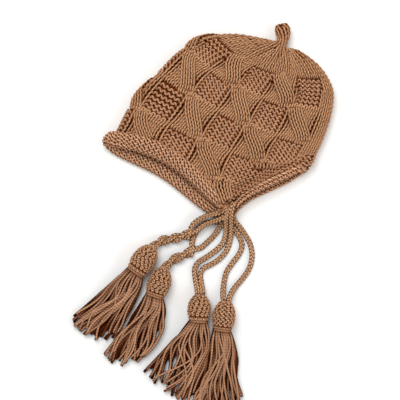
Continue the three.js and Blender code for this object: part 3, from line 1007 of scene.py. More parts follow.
@dataclass
class CrownSurface:
    """The bag's outer face in columns round it, from the brow fold, and rows from its widest patches."""

    columns: int = 72
    # Rows and how far up the bag they lie, in crown rows, at the brow fold, the middle and the nape fold.
    levels: tuple[tuple[float, float, float, float], ...] = (
        (0, 1.5, 1.63, 0.85),
        (8, 2.85, 2.75, 2.3),
        (16, 3.85, 3.95, 3.9),
        (22, 4.9, 5.1, 5.05),
        (26.5, 5.95, 6.05, 6.0),
        (30.4, 6.9, 6.95, 6.9),
    )
    low_row_heights: tuple[float, float, float] = (0.0043, 0.0035, 0.0035)
    wall_samples: int = 240
    chart_levels: int = 49
    chart_shares: int = 721

    def __post_init__(self) -> None:
        """Charts the angle round the bag against the length of yarn round it."""
        self.top = len(CROWN_ROWS)
        self.rows = [level[0] for level in self.levels]
        part = np.linspace(0, 1, self.wall_samples)
        half = math.pi * (part - np.sin(TURN * part) / TURN)
        shares = np.linspace(0, 1, self.chart_shares)
        self.angle_table = np.zeros((self.chart_levels, self.chart_shares))
        for k, level in enumerate(np.linspace(1, self.top, self.chart_levels)):
            angles, reached = [], []
            for wall in range(2):
                angle = half + wall * math.pi
                length = lengths_along(self.wall_points(angle, np.full(len(angle), level)))
                angles.append(angle)
                reached.append(0.5 * (length / length[-1] + wall))
            self.angle_table[k] = np.interp(shares, np.concatenate(reached), np.concatenate(angles))

    def wall_points(self, angle: np.ndarray, level: np.ndarray) -> np.ndarray:
        """Reads the bag in the bonnet's plan.

        Args:
            angle: angles round the bag: the upper wall to pi and the under wall beyond.
            level: how far up the bag, in crown rows.

        Returns:
            The points, shaped (n, 3).
        """
        upper = np.sin(angle) >= 0
        share = fold_share(angle)
        shares = [row[0] for row in MOUTH_POINTS]
        at = np.interp(share, shares, np.arange(len(shares)))
        edges = [catmull(np.array([row[k] for row in MOUTH_POINTS]), at) for k in (1, 2)]
        plans = [np.where(upper[:, None], *edges), *(through(*row[:3], share) for row in CROWN_ROWS)]
        rises = [MOUTH_RISE, *(row[3] for row in CROWN_ROWS)]
        rings = [np.column_stack([plan, self.wall_height(angle, rise)]) for plan, rise in zip(plans, rises)]
        controls = np.stack(rings, axis=1)
        step = 0.02
        points = catmull(controls, np.maximum(level, 0))
        below = np.minimum(level, 0)[:, None] / step
        points += below * (catmull(controls, np.full(len(level), step)) - controls[:, 0])
        points[:, 2] = np.maximum(points[:, 2], 0)
        return points

    @staticmethod
    def wall_height(angle: np.ndarray, rise: float) -> np.ndarray:
        """Gives the height of the face round one ring.

        Args:
            angle: angles round the bag.
            rise: how far the upper wall stands over the fold.

        Returns:
            The heights.
        """
        lift = np.abs(np.sin(angle))
        top = FOLD_HEIGHT + rise * lift**TOP_ROUNDNESS
        under = FOLD_HEIGHT - UNDER_DROP * lift**UNDER_ROUNDNESS
        return np.where(np.sin(angle) >= 0, top, np.maximum(0, under))

    def angle_at(self, column: np.ndarray, level: np.ndarray) -> np.ndarray:
        """Turns columns into angles round the bag.

        Args:
            column: columns from the brow fold.
            level: how far up the bag, in crown rows.

        Returns:
            The angles.
        """
        spot = np.mod(column / self.columns, 1.0) * (self.chart_shares - 1)
        at = np.clip((level - 1) / (self.top - 1), 0, 1) * (self.chart_levels - 1)
        left = np.clip(np.floor(spot).astype(int), 0, self.chart_shares - 2)
        low = np.clip(np.floor(at).astype(int), 0, self.chart_levels - 2)
        beside, part = spot - left, at - low
        table = self.angle_table
        lower = table[low, left] * (1 - beside) + table[low, left + 1] * beside
        upper = table[low + 1, left] * (1 - beside) + table[low + 1, left + 1] * beside
        return lower * (1 - part) + upper * part

    def _reach(self, angle: np.ndarray, row: np.ndarray) -> tuple[np.ndarray, np.ndarray, np.ndarray]:
        """Measures how far rows stand from the mouth's edge, as rows below row 0 count it.

        Args:
            angle: angles round the bag.
            row: rows from the widest patches.

        Returns:
            The distances, and the lengths of the first and the second crown row's stretch, in metres.
        """
        share = fold_share(angle)
        start = at_folds(self.levels[0][1:], share)
        rings = [self.wall_points(angle, np.full(len(angle), float(level))) for level in range(3)]
        first, second = (np.linalg.norm(high - low, axis=1) for low, high in zip(rings, rings[1:]))
        base = np.where(start < 1, start * first, first + (start - 1) * second)
        return base + row * at_folds(self.low_row_heights, share), first, second

    def height_above_mouth(self, column: np.ndarray, row: np.ndarray) -> np.ndarray:
        """Measures how far columns and rows stand from the mouth's edge, in metres."""
        return self._reach(self.angle_at(column, np.ones(len(column))), row)[0]

    def level_at(self, row: np.ndarray, angle: np.ndarray) -> np.ndarray:
        """Turns rows into levels up the bag.

        Args:
            row: rows from the widest patches.
            angle: angles round the bag.

        Returns:
            The levels, in crown rows.
        """
        anchors = [np.interp(row, self.rows, [level[k] for level in self.levels]) for k in (1, 2, 3)]
        high = at_folds(anchors, fold_share(angle))
        reach, first, second = self._reach(angle, row)
        below = np.where(reach < first, reach / first, 1 + (reach - first) / second)
        return np.where(row < 0, below, high)

    def place(self, column: np.ndarray, row: np.ndarray) -> np.ndarray:
        """Reads the bag's face in the part's frame.

        Args:
            column: columns from the brow fold.
            row: rows from the widest patches.

        Returns:
            The points, shaped (n, 3).
        """
        rough = np.interp(row, self.rows, [level[2] for level in self.levels])
        level = self.level_at(row, self.angle_at(column, rough))
        return bonnet_to_part(self.wall_points(self.angle_at(column, level), level))


@dataclass(frozen=True)
class NeckEdge:
    """How the courses end at the mouth. Shares run from the brow fold, 0, to the nape fold, 1.

    The neck's band is purl, and the flap's tip runs on further than the rest.
    """

    tuck: float = 0.0052
    neck_tuck: float = 0.0028
    neck_shares: Span = (0.62, 0.86)
    neck_fade: float = 0.08
    tip: float = 0.008
    tip_share: Span = (0.69, 0.055)
    band: float = 0.019
    band_start: float = 0.6
    # The band's yarn turns to painted shade more slowly at its sides.
    band_painted_side_shade: float = 0.3
    swell: float = 1.22
    uncabled_start: float = 0.72
    rise: float = 0.0034
    rise_reach: float = 0.013
    rise_fade: float = 0.1

    def run_on(self, share: np.ndarray) -> np.ndarray:
        """Says how far past the mouth's edge the courses go on, in metres."""
        start, end = self.neck_shares
        at_neck = ramp(share, start, self.neck_fade) * (1 - ramp(share, end, self.neck_fade))
        return self.tuck + self.neck_tuck * at_neck + self.tip * np.exp(-square_off(share, *self.tip_share))

    def banded(self, share: np.ndarray, reach: np.ndarray, start: float) -> np.ndarray:
        """Says which places lie in the neck's band, past a share."""
        return (reach < self.band) & (share > start)

    def raised(self, share: np.ndarray, reach: np.ndarray) -> np.ndarray:
        """Says how far the courses rise towards the neck's edge, in metres."""
        near = smooth_step(1 - np.maximum(reach, 0) / self.rise_reach)
        return self.rise * (near * ramp(share, self.neck_shares[0], self.rise_fade))


@dataclass(frozen=True)
class Cable:
    """A ribbon of stitches that crosses a plain cell, measured in rows and columns from its middle.

    It draws the fabric beside it aside and hollows it, with painted shade in the hollow: each pair is where
    that is and how far it spreads.
    """

    reach: float = 4.1
    sweep: float = 2.0
    width: int = 3
    stitch: float = 0.0043
    pitch: float = 0.0038
    fewest: int = 6
    samples: int = 61
    yarn: float = 0.00094
    lift: float = 0.0031
    over_wall: float = 0.0002
    side: float = 0.22
    side_drop: float = 0.0034
    bulge: float = 0.0013
    # Painted light: how much lighter the cable is painted than its stitches' lift alone gives.
    brightness: float = 0.25
    level_limit: float = 1.2
    past_mouth: float = 0.004
    cover: Span = (0.95, 0.3)
    lean: float = 0.52
    lean_rise: Span = (-5.0, 4.2)
    lean_fall: Span = (0.6, 2.2)
    lean_aside: Span = (-2.2, 2.1)
    hollow: float = 0.0009
    # How much painted shade the hollow gets.
    hollow_painted_shade: float = 0.9
    hollow_aside: Span = (-2.5, 0.9)
    hollow_along: Span = (1.4, 1.3)
    tones: Span = (-0.2, 0.3)

    def column(self, middle: float, offset: np.ndarray) -> np.ndarray:
        """Gives the cable's middle column at an offset in rows from the cell's middle."""
        part = np.clip(np.asarray(offset, float) / self.reach, -1, 1)
        return middle - self.sweep * (3 * part - part**3) / 2

    def pull(self, aside: np.ndarray, offset: np.ndarray) -> tuple[np.ndarray, np.ndarray]:
        """Works out how the cable pulls the fabric at columns and rows from its middle.

        Args:
            aside: columns from the cell's middle.
            offset: rows from it.

        Returns:
            How far each place is drawn aside, in columns, and how hollow it is.
        """
        lean, hollow = np.zeros(len(aside)), np.zeros(len(aside))
        for way in (1.0, -1.0):
            across, along = way * aside, way * offset
            rising = ramp(along, *self.lean_rise) * (1 - ramp(along, *self.lean_fall))
            lean += way * self.lean * rising * np.exp(-square_off(across, *self.lean_aside))
            hollow += np.exp(-square_off(across, *self.hollow_aside) - square_off(along, *self.hollow_along))
        return lean, hollow


@dataclass
class Crown:
    """The bag: purl patches in half-drop, and a cable that crosses the plain cell between them.

    Decreases are the row that each starts at and the wales that it ends in each repeat.
    """

    loops: Loops = Loops()
    surface: CrownSurface = field(default_factory=CrownSurface)
    cable: Cable = Cable()
    edge: NeckEdge = NeckEdge()
    repeat_columns: int = 12
    repeat_rows: int = 16
    cable_bands: tuple[int, int] = (-2, 2)
    patch_half_width: int = 2
    patch_half_height: int = 3
    patch_clear: Span = (0.3, 1.2)
    last_patterned_row: int = 19
    piece_rows: tuple[tuple[int, int], ...] = ((-19, -3), (-2, 8), (9, 30))
    decreases: tuple[tuple[int, tuple[int, ...]], ...] = (
        (17, (3, 9)),
        (21, (5, 7)),
        (23, (1, 11)),
        (25, (4, 8)),
        (28, (2, 10)),
    )
    mid_wall: float = -0.0013
    column_shift: float = -0.7
    crest: float = 0.0015
    crest_rows: Span = (17.5, 4.0)
    crest_edge: float = 4.0
    purl_swell: float = 1.08
    tones: Span = (-0.5, 0.5)
    lining_depths: Span = (0.0034, 0.0043)
    lining_grid: tuple[int, int] = (29, 104)

    def __post_init__(self) -> None:
        """Charts where each wale stands in each course, easing it round its neighbours' decreases."""
        rows = range(self.piece_rows[0][0], self.piece_rows[-1][1] + 1)
        self.wales = {row: self._kept_wales(row) for row in rows}
        raw = {row: self._even_columns(kept) for row, kept in self.wales.items()}
        self.columns = {
            row: np.array([self._eased(raw, row, wale) for wale in self.wales[row]]) for row in rows
        }
        self.cells = self._cable_cells()

    def _kept_wales(self, row: int) -> list[int]:
        """Lists the wales that a row still has."""
        gone = {wale for start, wales in self.decreases if row >= start for wale in wales}
        return [k for k in range(self.surface.columns) if k % self.repeat_columns not in gone]

    def _even_columns(self, kept: list[int]) -> dict[int, float]:
        """Spreads the wales that a row has evenly over each repeat."""
        repeats = self.surface.columns // self.repeat_columns
        each = len(kept) // repeats
        return {
            wale: (k // each) * self.repeat_columns + (k % each) * self.repeat_columns / each
            for k, wale in enumerate(kept)
        }

    @staticmethod
    def _eased(raw: dict[int, dict[int, float]], row: int, wale: int) -> float:
        """Averages a wale's column over the rows near it."""
        found = [
            (raw[near][wale], weight)
            for near, weight in ((row - 1, 1), (row, 2), (row + 1, 1))
            if near in raw and wale in raw[near]
        ]
        return sum(c * w for c, w in found) / sum(w for _, w in found)

    def face_at(self, wale: int, row: int) -> Face:
        """Reads the chart: purl patches in half-drop."""
        band = round(2 * row / self.repeat_rows)
        from_middle = row - band * self.repeat_rows // 2
        half = self.repeat_columns // 2
        shift = half if band % 2 == 0 else 0
        aside = (wale - shift + half) % self.repeat_columns - half
        inside = abs(aside) <= self.patch_half_width and abs(from_middle) <= self.patch_half_height
        return Face.PURL if inside and row <= self.last_patterned_row else Face.KNIT

    def _cable_cells(self) -> list[tuple[float, float]]:
        """Lists the middles of the plain cells that a cable crosses, none of them on the nape fold."""
        half_rows = self.repeat_rows // 2
        nape = self.surface.columns // 2
        cells = []
        for band in range(self.cable_bands[0], self.cable_bands[1] + 1):
            shift = 0 if band % 2 == 0 else self.repeat_columns // 2
            for column in range(shift, self.surface.columns, self.repeat_columns):
                top = np.array([band * half_rows + 0.5 * self.cable.reach])
                reach = self.surface.height_above_mouth(np.array([column + self.column_shift]), top)[0]
                if reach > 0 and column != nape:
                    cells.append((float(column), float(band * half_rows)))
        return cells

    def place(self, column: np.ndarray, row: np.ndarray) -> np.ndarray:
        """Reads the bag's face with the chart's columns set where they lie."""
        return self.surface.place(np.asarray(column) + self.column_shift, row)

    def pull(self, column: np.ndarray, row: np.ndarray) -> tuple[np.ndarray, np.ndarray]:
        """Works out how the cables pull the fabric beside them.

        Args:
            column: columns of the chart.
            row: rows of the chart.

        Returns:
            How far each place is drawn aside, in columns, and how hollow it is, from 0 to 1.
        """
        pulls = [self.cable.pull(self._aside(column, middle), row - level) for middle, level in self.cells]
        lean, hollow = (sum(parts) for parts in zip(*pulls))
        plain = self._plainness(column, row)
        return lean * plain, np.clip(hollow, 0, 1) * plain

    def _plainness(self, column: np.ndarray, row: np.ndarray) -> np.ndarray:
        """Says how far places are from the purl patches, from 0 inside one to 1 clear of it."""
        plain = np.ones(len(column))
        half_columns, half_rows = self.repeat_columns / 2, self.repeat_rows / 2
        for shift, lift in ((half_columns, 0.0), (0.0, half_rows)):
            aside = np.mod(column - shift + half_columns, self.repeat_columns)
            off = np.mod(row - lift + half_rows, self.repeat_rows)
            beside = np.abs(aside - half_columns) - self.patch_half_width
            beyond = np.abs(off - half_rows) - self.patch_half_height
            plain = np.minimum(plain, ramp(np.maximum(beside, beyond), *self.patch_clear))
        return plain

    def _aside(self, column: np.ndarray, middle: float) -> np.ndarray:
        """Measures columns from a middle column, the shorter way round."""
        half = self.surface.columns / 2
        return (column - middle + half) % (2 * half) - half

    def build(self) -> list[bpy.types.Object]:
        """Knits the crown.

        Returns:
            The crown's pieces: its lining, its courses from the mouth to the tip, and its cables.
        """
        pieces = [self._lining()]
        for k, (low, high) in enumerate(self.piece_rows):
            mesh = TubeMesh()
            for row in range(low, high + 1):
                self._lay_row(mesh, row)
            piece = mesh.build(f"crown_courses_{k + 1}", KNIT_WOOL)
            pieces.append(finished(piece, "knitted_wool"))
        cables = TubeMesh()
        for cell in self.cells:
            self._lay_cable(cables, *cell)
        pieces.append(finished(cables.build("crown_cables", KNIT_WOOL), "knitted_wool"))
        return pieces

    def _lining(self) -> bpy.types.Object:
        """Makes the inside of the wall, which closes the fabric behind its stitches and is painted dark as
        the shade there.
        """
        rows, around = self.lining_grid
        angles = TURN * np.arange(around) / around
        levels = np.linspace(0, self.surface.top, rows)
        outer, inner = (
            [self._ring(angles, level, depth) for level in levels] for depth in self.lining_depths
        )
        piece = shell_object("crown_lining", np.array(outer[::-1] + inner), INNER_PAINTED_SHADE)
        return finished(piece, "knitted_wool", "crown")

    def _ring(self, angles: np.ndarray, level: float, depth: float) -> np.ndarray:
        """Reads one ring of the bag, moved in by a depth."""
        nudge, margin = 0.01, 0.02
        wall = self.surface.wall_points
        levels = np.full(len(angles), min(max(level, margin), self.surface.top - margin))
        around = wall(angles + nudge, levels) - wall(angles - nudge, levels)
        up = wall(angles, levels + nudge) - wall(angles, levels - nudge)
        return bonnet_to_part(wall(angles, levels) - unit(np.cross(around, up)) * depth)

    def _lay_row(self, mesh: TubeMesh, row: int) -> None:
        """Lays one course, in runs where the mouth or a cable interrupts it.

        Args:
            mesh: the mesh to lay it in.
            row: the row.
        """
        column = self.columns[row]
        rows = np.full(len(column), float(row))
        width, height = stitch_size(self, column, rows)
        ring = np.concatenate(
            [[column[-1] - self.surface.columns], column, [column[0] + self.surface.columns]]
        )
        spacing = (ring[2:] - ring[:-2]) / 2
        shifted = column + self.column_shift
        reach, share = self.surface.height_above_mouth(shifted, rows), self._share(shifted)
        neck = self.edge.banded(share, reach, self.edge.band_start) & (row < 1)
        face, above = (self._faces(row, at, neck) for at in (row, row + 1))
        sink = self._wall(row, column, share, reach)
        bare = ~self._covered(row, column) | self.edge.banded(share, reach, self.edge.uncabled_start)
        kept = ((reach > -self.edge.run_on(share)) | (row > 0)) & bare
        tone = random.uniform(*self.tones)
        swell = np.where(neck, self.edge.swell, np.where(face < 0, self.purl_swell, 1.0))
        # How fast the yarn's sides turn to painted shade, more slowly in the neck's band.
        rounding = np.where(neck, self.edge.band_painted_side_shade, self.loops.rounding)
        for run in self._runs(kept):
            period = float(self.surface.columns) if len(run) == len(column) else 0.0
            parts = (part[run] for part in (rows, height, face, above, sink))
            course = Course(self._unwrapped(column[run]), *parts, period)
            columns, yarn_rows, lifts = self.loops.line(course)
            lean, hollow = self.pull(columns, yarn_rows)
            points, normals = on_surface(self, columns + lean, yarn_rows)
            mesh.add(
                points + normals * (lifts - hollow * self.cable.hollow)[:, None],
                normals,
                self.loops.radii(width[run] * spacing[run] * swell[run]),
                closed=course.closed,
                tone=tone,
                # Painted shade in the hollows beside the cables.
                level=self.loops.level(course, lifts) - self.cable.hollow_painted_shade * hollow,
                pink=np.repeat(course.face < 0, self.loops.samples),
                rounding=np.repeat(rounding[run], self.loops.samples),
            )

    def _faces(self, row: int, chart_row: int, neck: np.ndarray) -> np.ndarray:
        """Reads the sides that a row's wales show in a row of the chart.

        Args:
            row: the row whose wales are read.
            chart_row: the row of the chart.
            neck: which stitches lie in the neck's band, which is purl.

        Returns:
            1 for knit and -1 for purl. The nape is plain knit.
        """
        face = np.array([self.face_at(wale, chart_row).value for wale in self.wales[row]], float)
        nape = np.abs(self._aside(self.columns[row], self.surface.columns / 2)) < self.repeat_columns / 4
        return np.where(neck, -1.0, np.where(nape, 1.0, face))

    def _wall(self, row: int, column: np.ndarray, share: np.ndarray, reach: np.ndarray) -> np.ndarray:
        """Says how high a row's stitches stand over the bag's face.

        Args:
            row: the row.
            column: its columns.
            share: how far they lie from the brow fold to the nape fold.
            reach: how far they stand from the mouth's edge.

        Returns:
            The heights: the upper wall rises at the neck's edge and in soft ridges towards the nub.
        """
        over = np.sin(TURN * (column + self.column_shift) / self.surface.columns)
        ridge = self.crest * np.clip(self.crest_edge * over, 0, 1) * ramp(row, *self.crest_rows)
        wave = np.cos(TURN * (column + self.cable.sweep) / self.repeat_columns)
        return self.mid_wall + self.edge.raised(share, reach) * (over > 0) + ridge * wave

    def _covered(self, row: int, column: np.ndarray) -> np.ndarray:
        """Says which stitches of a row lie under a cable.

        Args:
            row: the row.
            column: its columns.

        Returns:
            True for each stitch that a cable covers.
        """
        lean, _ = self.pull(column, np.full(len(column), float(row)))
        half_width, short = self.cable.cover
        covered = np.zeros(len(column), bool)
        for middle, level in self.cells:
            if abs(row - level) < self.cable.reach - short:
                path = self.cable.column(0.0, np.array(row - level))
                covered |= np.abs(self._aside(column + lean - path, middle)) <= half_width
        return covered

    def _share(self, column: np.ndarray) -> np.ndarray:
        """Says how far columns lie from the brow fold to the nape fold, from 0 to 1."""
        return fold_share(self.surface.angle_at(column, np.ones(len(column))))

    def _unwrapped(self, column: np.ndarray) -> np.ndarray:
        """Lets a run's columns go on growing where it passes the brow fold."""
        return column + self.surface.columns * np.concatenate([[0], np.cumsum(np.diff(column) < 0)])

    @staticmethod
    def _runs(kept: np.ndarray) -> list[np.ndarray]:
        """Splits a ring of stitches into runs of kept ones.

        Args:
            kept: which stitches are kept.

        Returns:
            The indices of each run, in order round the ring.
        """
        count = len(kept)
        if kept.all():
            return [np.arange(count)]
        order = (int(np.argmin(kept)) + np.arange(count)) % count
        found = order[kept[order]]
        places = np.flatnonzero(kept[order])
        return [run for run in np.split(found, np.flatnonzero(np.diff(places) > 1) + 1) if len(run)]

    def _lay_cable(self, mesh: TubeMesh, middle: float, level: float) -> None:
        """Lays the ribbon of stitches that crosses one cell.

        Args:
            mesh: the mesh to lay it in.
            middle: the cell's middle column.
            level: the cell's middle row.
        """
        cable = self.cable
        fine = np.linspace(-cable.reach, cable.reach, cable.samples)
        width, height = stitch_size(self, np.array([middle]), np.array([level]))
        metric = np.array([width[0], height[0]])
        path = np.stack([cable.column(middle, fine), level + fine], axis=1) * metric
        length = line_length(path)
        count = max(cable.fewest, round(length / cable.pitch))
        spots = resampled(path, count)
        heading = unit(np.gradient(spots, axis=0))
        spacing = length / (count - 1)
        aside = np.stack([heading[:, 1], -heading[:, 0]], axis=1)
        stitch = Course.alike(np.arange(cable.width) - (cable.width - 1) / 2, 0.0, spacing, Face.KNIT)
        columns, rows, lifts = self.loops.line(stitch)
        edge = cable.width / 2 + cable.side
        columns = np.concatenate([[-edge], columns, [edge]])
        rows = np.concatenate([[rows[0]], rows, [rows[0]]])
        lifts = np.concatenate([[-cable.side_drop], lifts, [-cable.side_drop]])
        bulge = cable.bulge * (columns / edge) ** 2
        tone = random.uniform(*cable.tones)
        ends = spots / metric
        shifted = ends[:, 0] + self.column_shift
        reach = self.surface.height_above_mouth(shifted, ends[:, 1])
        banded = self.edge.banded(self._share(shifted), reach, self.edge.uncabled_start)
        for k in np.flatnonzero((reach > -cable.past_mouth) & ~banded):
            part = 2 * k / (count - 1) - 1
            rise = cable.lift * math.cos(0.5 * math.pi * part**2) + self.mid_wall + cable.over_wall
            flat = (
                spots[k]
                + aside[k] * (columns * cable.stitch)[:, None]
                + heading[k] * (rows * spacing)[:, None]
            ) / metric
            points, normals = on_surface(self, flat[:, 0], flat[:, 1])
            # Painted light: the cable's stitches are painted lighter as they stand over the fabric.
            cable_painted_light = lifts / self.loops.depth + cable.brightness
            mesh.add(
                points + normals * (lifts + rise - bulge)[:, None],
                normals,
                cable.yarn,
                tone=tone,
                level=np.clip(cable_painted_light, -cable.level_limit, cable.level_limit),
                rounding=self.loops.rounding,
            )


# Rolls and rounds


@dataclass
class RollSurface:
    """A soft roll along a route, in columns along it and rows round it."""

    route: tuple[tuple[float, ...], ...]
    sideways: tuple[float, float, float]
    stitch: float
    rows: int
    inset: float
    route_samples: int = 600
    oval_samples: int = 361
    end_share: float = 0.04

    def __post_init__(self) -> None:
        """Charts the route by its length, and the roll's mean section by the length round it."""
        table = np.array(self.route)
        self.centres, self.halves = table[:, :3], table[:, 3:]
        self.positions = np.linspace(0, len(table) - 1, self.route_samples)
        self.reached = lengths_along(catmull(self.centres, self.positions))
        self.columns = max(2, round(self.reached[-1] / self.stitch))
        self.angles = np.linspace(0, TURN, self.oval_samples)
        oval = np.stack([np.cos(self.angles), np.sin(self.angles)], axis=1) * self.halves.mean(axis=0)
        lengths = lengths_along(oval)
        self.shares = lengths / lengths[-1]

    def place(self, column: np.ndarray, row: np.ndarray) -> np.ndarray:
        """Reads the roll's face in the part's frame. Its ends round off past the first and last column.

        Args:
            column: columns along the roll.
            row: rows round it.

        Returns:
            The points, shaped (n, 3).
        """
        beyond = column / self.columns
        inside = np.clip(beyond, 0, 1)
        position = np.interp(inside * self.reached[-1], self.reached, self.positions)
        along = heading_at(self.centres, position)
        side = np.broadcast_to(np.array(self.sideways), along.shape)
        side = unit(side - along * (side * along).sum(axis=1, keepdims=True))
        over = np.cross(along, side)
        angle = np.interp(np.mod(-row / self.rows, 1.0), self.shares, self.angles)
        halves = catmull(self.halves, position) - self.inset
        excess = (beyond - inside) * self.reached[-1]
        halves = halves * np.sqrt(np.maximum(1 - (excess / halves.min()) ** 2, self.end_share))[:, None]
        across = side * (halves[:, :1] * np.cos(angle)[:, None])
        up = over * (halves[:, 1:] * np.sin(angle)[:, None])
        return bonnet_to_part(catmull(self.centres, position) + across + up + along * excess[:, None])


@dataclass
class RoundSurface:
    """A round body on a bent axis, in columns round it and rows along it."""

    axis: np.ndarray
    radii: np.ndarray
    columns: float
    row_height: float
    twist: float = 0.0
    samples: int = 300

    def __post_init__(self) -> None:
        """Charts the axis by the length of its outline."""
        self.outline = np.column_stack([self.axis, self.radii])
        self.positions = np.linspace(0, len(self.axis) - 1, self.samples)
        self.reached = lengths_along(catmull(self.outline, self.positions))
        self.rows = self.reached[-1] / self.row_height

    def place(self, column: np.ndarray, row: np.ndarray) -> np.ndarray:
        """Reads the body's face in the part's frame.

        Args:
            column: columns round the body.
            row: rows along it.

        Returns:
            The points, shaped (n, 3).
        """
        length = np.clip(row * self.row_height, 0, self.reached[-1])
        position = np.interp(length, self.reached, self.positions)
        along = heading_at(self.axis, position)
        side = unit(np.cross(along, UPWARD))
        angle = TURN * column / self.columns + self.twist * row
        read = catmull(self.outline, position)
        centre, radius = read[:, :3], read[:, 3:]
        across = side * radius * np.cos(angle)[:, None]
        return centre + across + np.cross(along, side) * radius * np.sin(angle)[:, None]


@dataclass
class Roll:
    """A rolled edge: purl side out, in courses that run along it."""

    name: str
    surface: RollSurface
    # Its last number sets how fast the yarn's sides turn to painted shade.
    loops: Loops = Loops(radius=0.00108, depth=0.00125, rounding=0.8)
    tones: Span = (-0.5, 0.5)
    past_ends: float = 0.5
    core_grid: tuple[int, int] = (90, 14)
    core_ends: float = 0.1
    core_depth: float = 0.0013

    def build(self) -> list[bpy.types.Object]:
        """Knits the roll.

        Returns:
            Its core and its courses.
        """
        core = self._core()
        mesh = TubeMesh()
        for row in range(self.surface.rows):
            columns = np.arange(-self.past_ends, self.surface.columns + 2 * self.past_ends)
            _, height = stitch_size(self.surface, columns, np.full(len(columns), float(row)))
            course = Course.alike(columns, float(row), height, Face.PURL)
            lay_course(mesh, self.loops, course, self.surface, random.uniform(*self.tones))
        return [core, finished(mesh.build(f"{self.name}_courses", ROLL_WOOL), "purl_roll", self.name)]

    def _core(self) -> bpy.types.Object:
        """Makes the roll's inside, painted dark as the shade that shows between its stitches."""
        rings, sides = self.core_grid
        around = np.arange(sides) / sides * self.surface.rows
        made = []
        for column in np.linspace(self.core_ends, self.surface.columns - self.core_ends, rings):
            points, normals = on_surface(self.surface, np.full(sides, column), around)
            made.append(points - normals * self.core_depth)
        return finished(shell_object(f"{self.name}_core", np.array(made), INNER_PAINTED_SHADE), "purl_roll")


@dataclass
class TopNub:
    """The knitted cord nub on the tip: plain wales that twist as they rise to a round end."""

    columns: int = 6
    row_height: float = 0.0036
    inset: float = 0.0013
    least_radius: float = 0.0006
    foot: float = 0.002
    first_row: float = 0.3
    last_rows: Span = (1.3, 0.2)
    twist: float = -0.14
    # Its last number sets how fast the yarn's sides turn to painted shade.
    loops: Loops = Loops(radius=0.00118, depth=0.0010, rounding=0.75)
    core_grid: tuple[int, int] = (14, 12)
    core_scale: float = 0.8

    def build(self) -> list[bpy.types.Object]:
        """Knits the nub.

        Returns:
            Its core and its courses.
        """
        axis = np.array([(x, y, FOLD_HEIGHT) for x, y, _ in NUB_ROWS]) + MODEL_PLACE
        axis[0] -= self.foot * unit(axis[1] - axis[0])
        radii = np.array([max(radius - self.inset, self.least_radius) for _, _, radius in NUB_ROWS])
        surface = RoundSurface(axis, radii, float(self.columns), self.row_height, self.twist)
        mesh = TubeMesh()
        ring = np.arange(self.columns, dtype=float)
        closing, end = self.last_rows
        for row in np.arange(self.first_row, surface.rows - end, 1.0):
            stitches = ring[::2] if row > surface.rows - closing else ring
            course = Course.alike(stitches, row, self.row_height, Face.KNIT, float(self.columns))
            lay_course(mesh, self.loops, course, surface, 0.0)
        # The core is painted dark as the shade that shows between the nub's stitches.
        rings, sides = self.core_grid
        around = np.linspace(0, self.columns, sides, endpoint=False)
        rows = np.linspace(0, surface.rows, rings)
        made = np.array([surface.place(around, np.full(sides, row)) for row in rows])
        middles = made.mean(axis=1, keepdims=True)
        core = shell_object("top_nub_core", middles + (made - middles) * self.core_scale, INNER_PAINTED_SHADE)
        courses = mesh.build("top_nub_courses", KNIT_WOOL)
        return [finished(core, "knitted_wool"), finished(courses, "knitted_wool", "top_nub")]


# Ties and tassels


@dataclass
class Tie:
    """One strand of a tie: a cord of three yarns, plaited, from the ear flap to a tassel's head."""

    name: str
    tassel: int
    route: np.ndarray
    nodes: tuple[str, ...]
    diameter: float = 0.0042
    yarns: int = 3
    yarn_radius: float = 0.00106
    swing: float = 0.0015
    rise: float = 0.0013
    plait_pitch: float = 0.0093
    step: float = 0.0007
    fewest: int = 24
    tones: Span = (-0.4, 0.4)
    # Painted light and shade on the plait: its yarns are painted lighter where they rise over the others and
    # darker where they pass under.
    level: Span = (-0.2, 1.8)
    rounding: float = 1.0
    path_points: int = 38

    def build(self) -> bpy.types.Object:
        """Plaits the strand.

        Returns:
            The strand's piece.
        """
        length = line_length(self.route)
        line = resampled(self.route, max(self.fewest, round(length / self.step)))
        _, side, over = line_frame(line)
        reached = np.linspace(0, length, len(line))
        mesh = TubeMesh()
        for yarn in range(self.yarns):
            phase = TURN * (reached / self.plait_pitch + yarn / self.yarns)
            weave = np.sin(2 * phase)
            path = line + side * (self.swing * np.sin(phase))[:, None] + over * (self.rise * weave)[:, None]
            tone = random.uniform(*self.tones)
            # Painted light where the yarn rises in the plait, painted shade where it passes under.
            level = self.level[1] * weave + self.level[0]
            mesh.add(path, over, self.yarn_radius, tone=tone, level=level, rounding=self.rounding)
        return finished(mesh.build(self.name, TIE_WOOL), "tie_cord", *self.nodes)

    def declare(self, piece: bpy.types.Object, head: bpy.types.Object) -> None:
        """Args:
            piece: the strand's piece; not used.
            head: the head that it is knotted into; not used.
        """
        path = resampled(self.route, self.path_points)
        line_length(path)


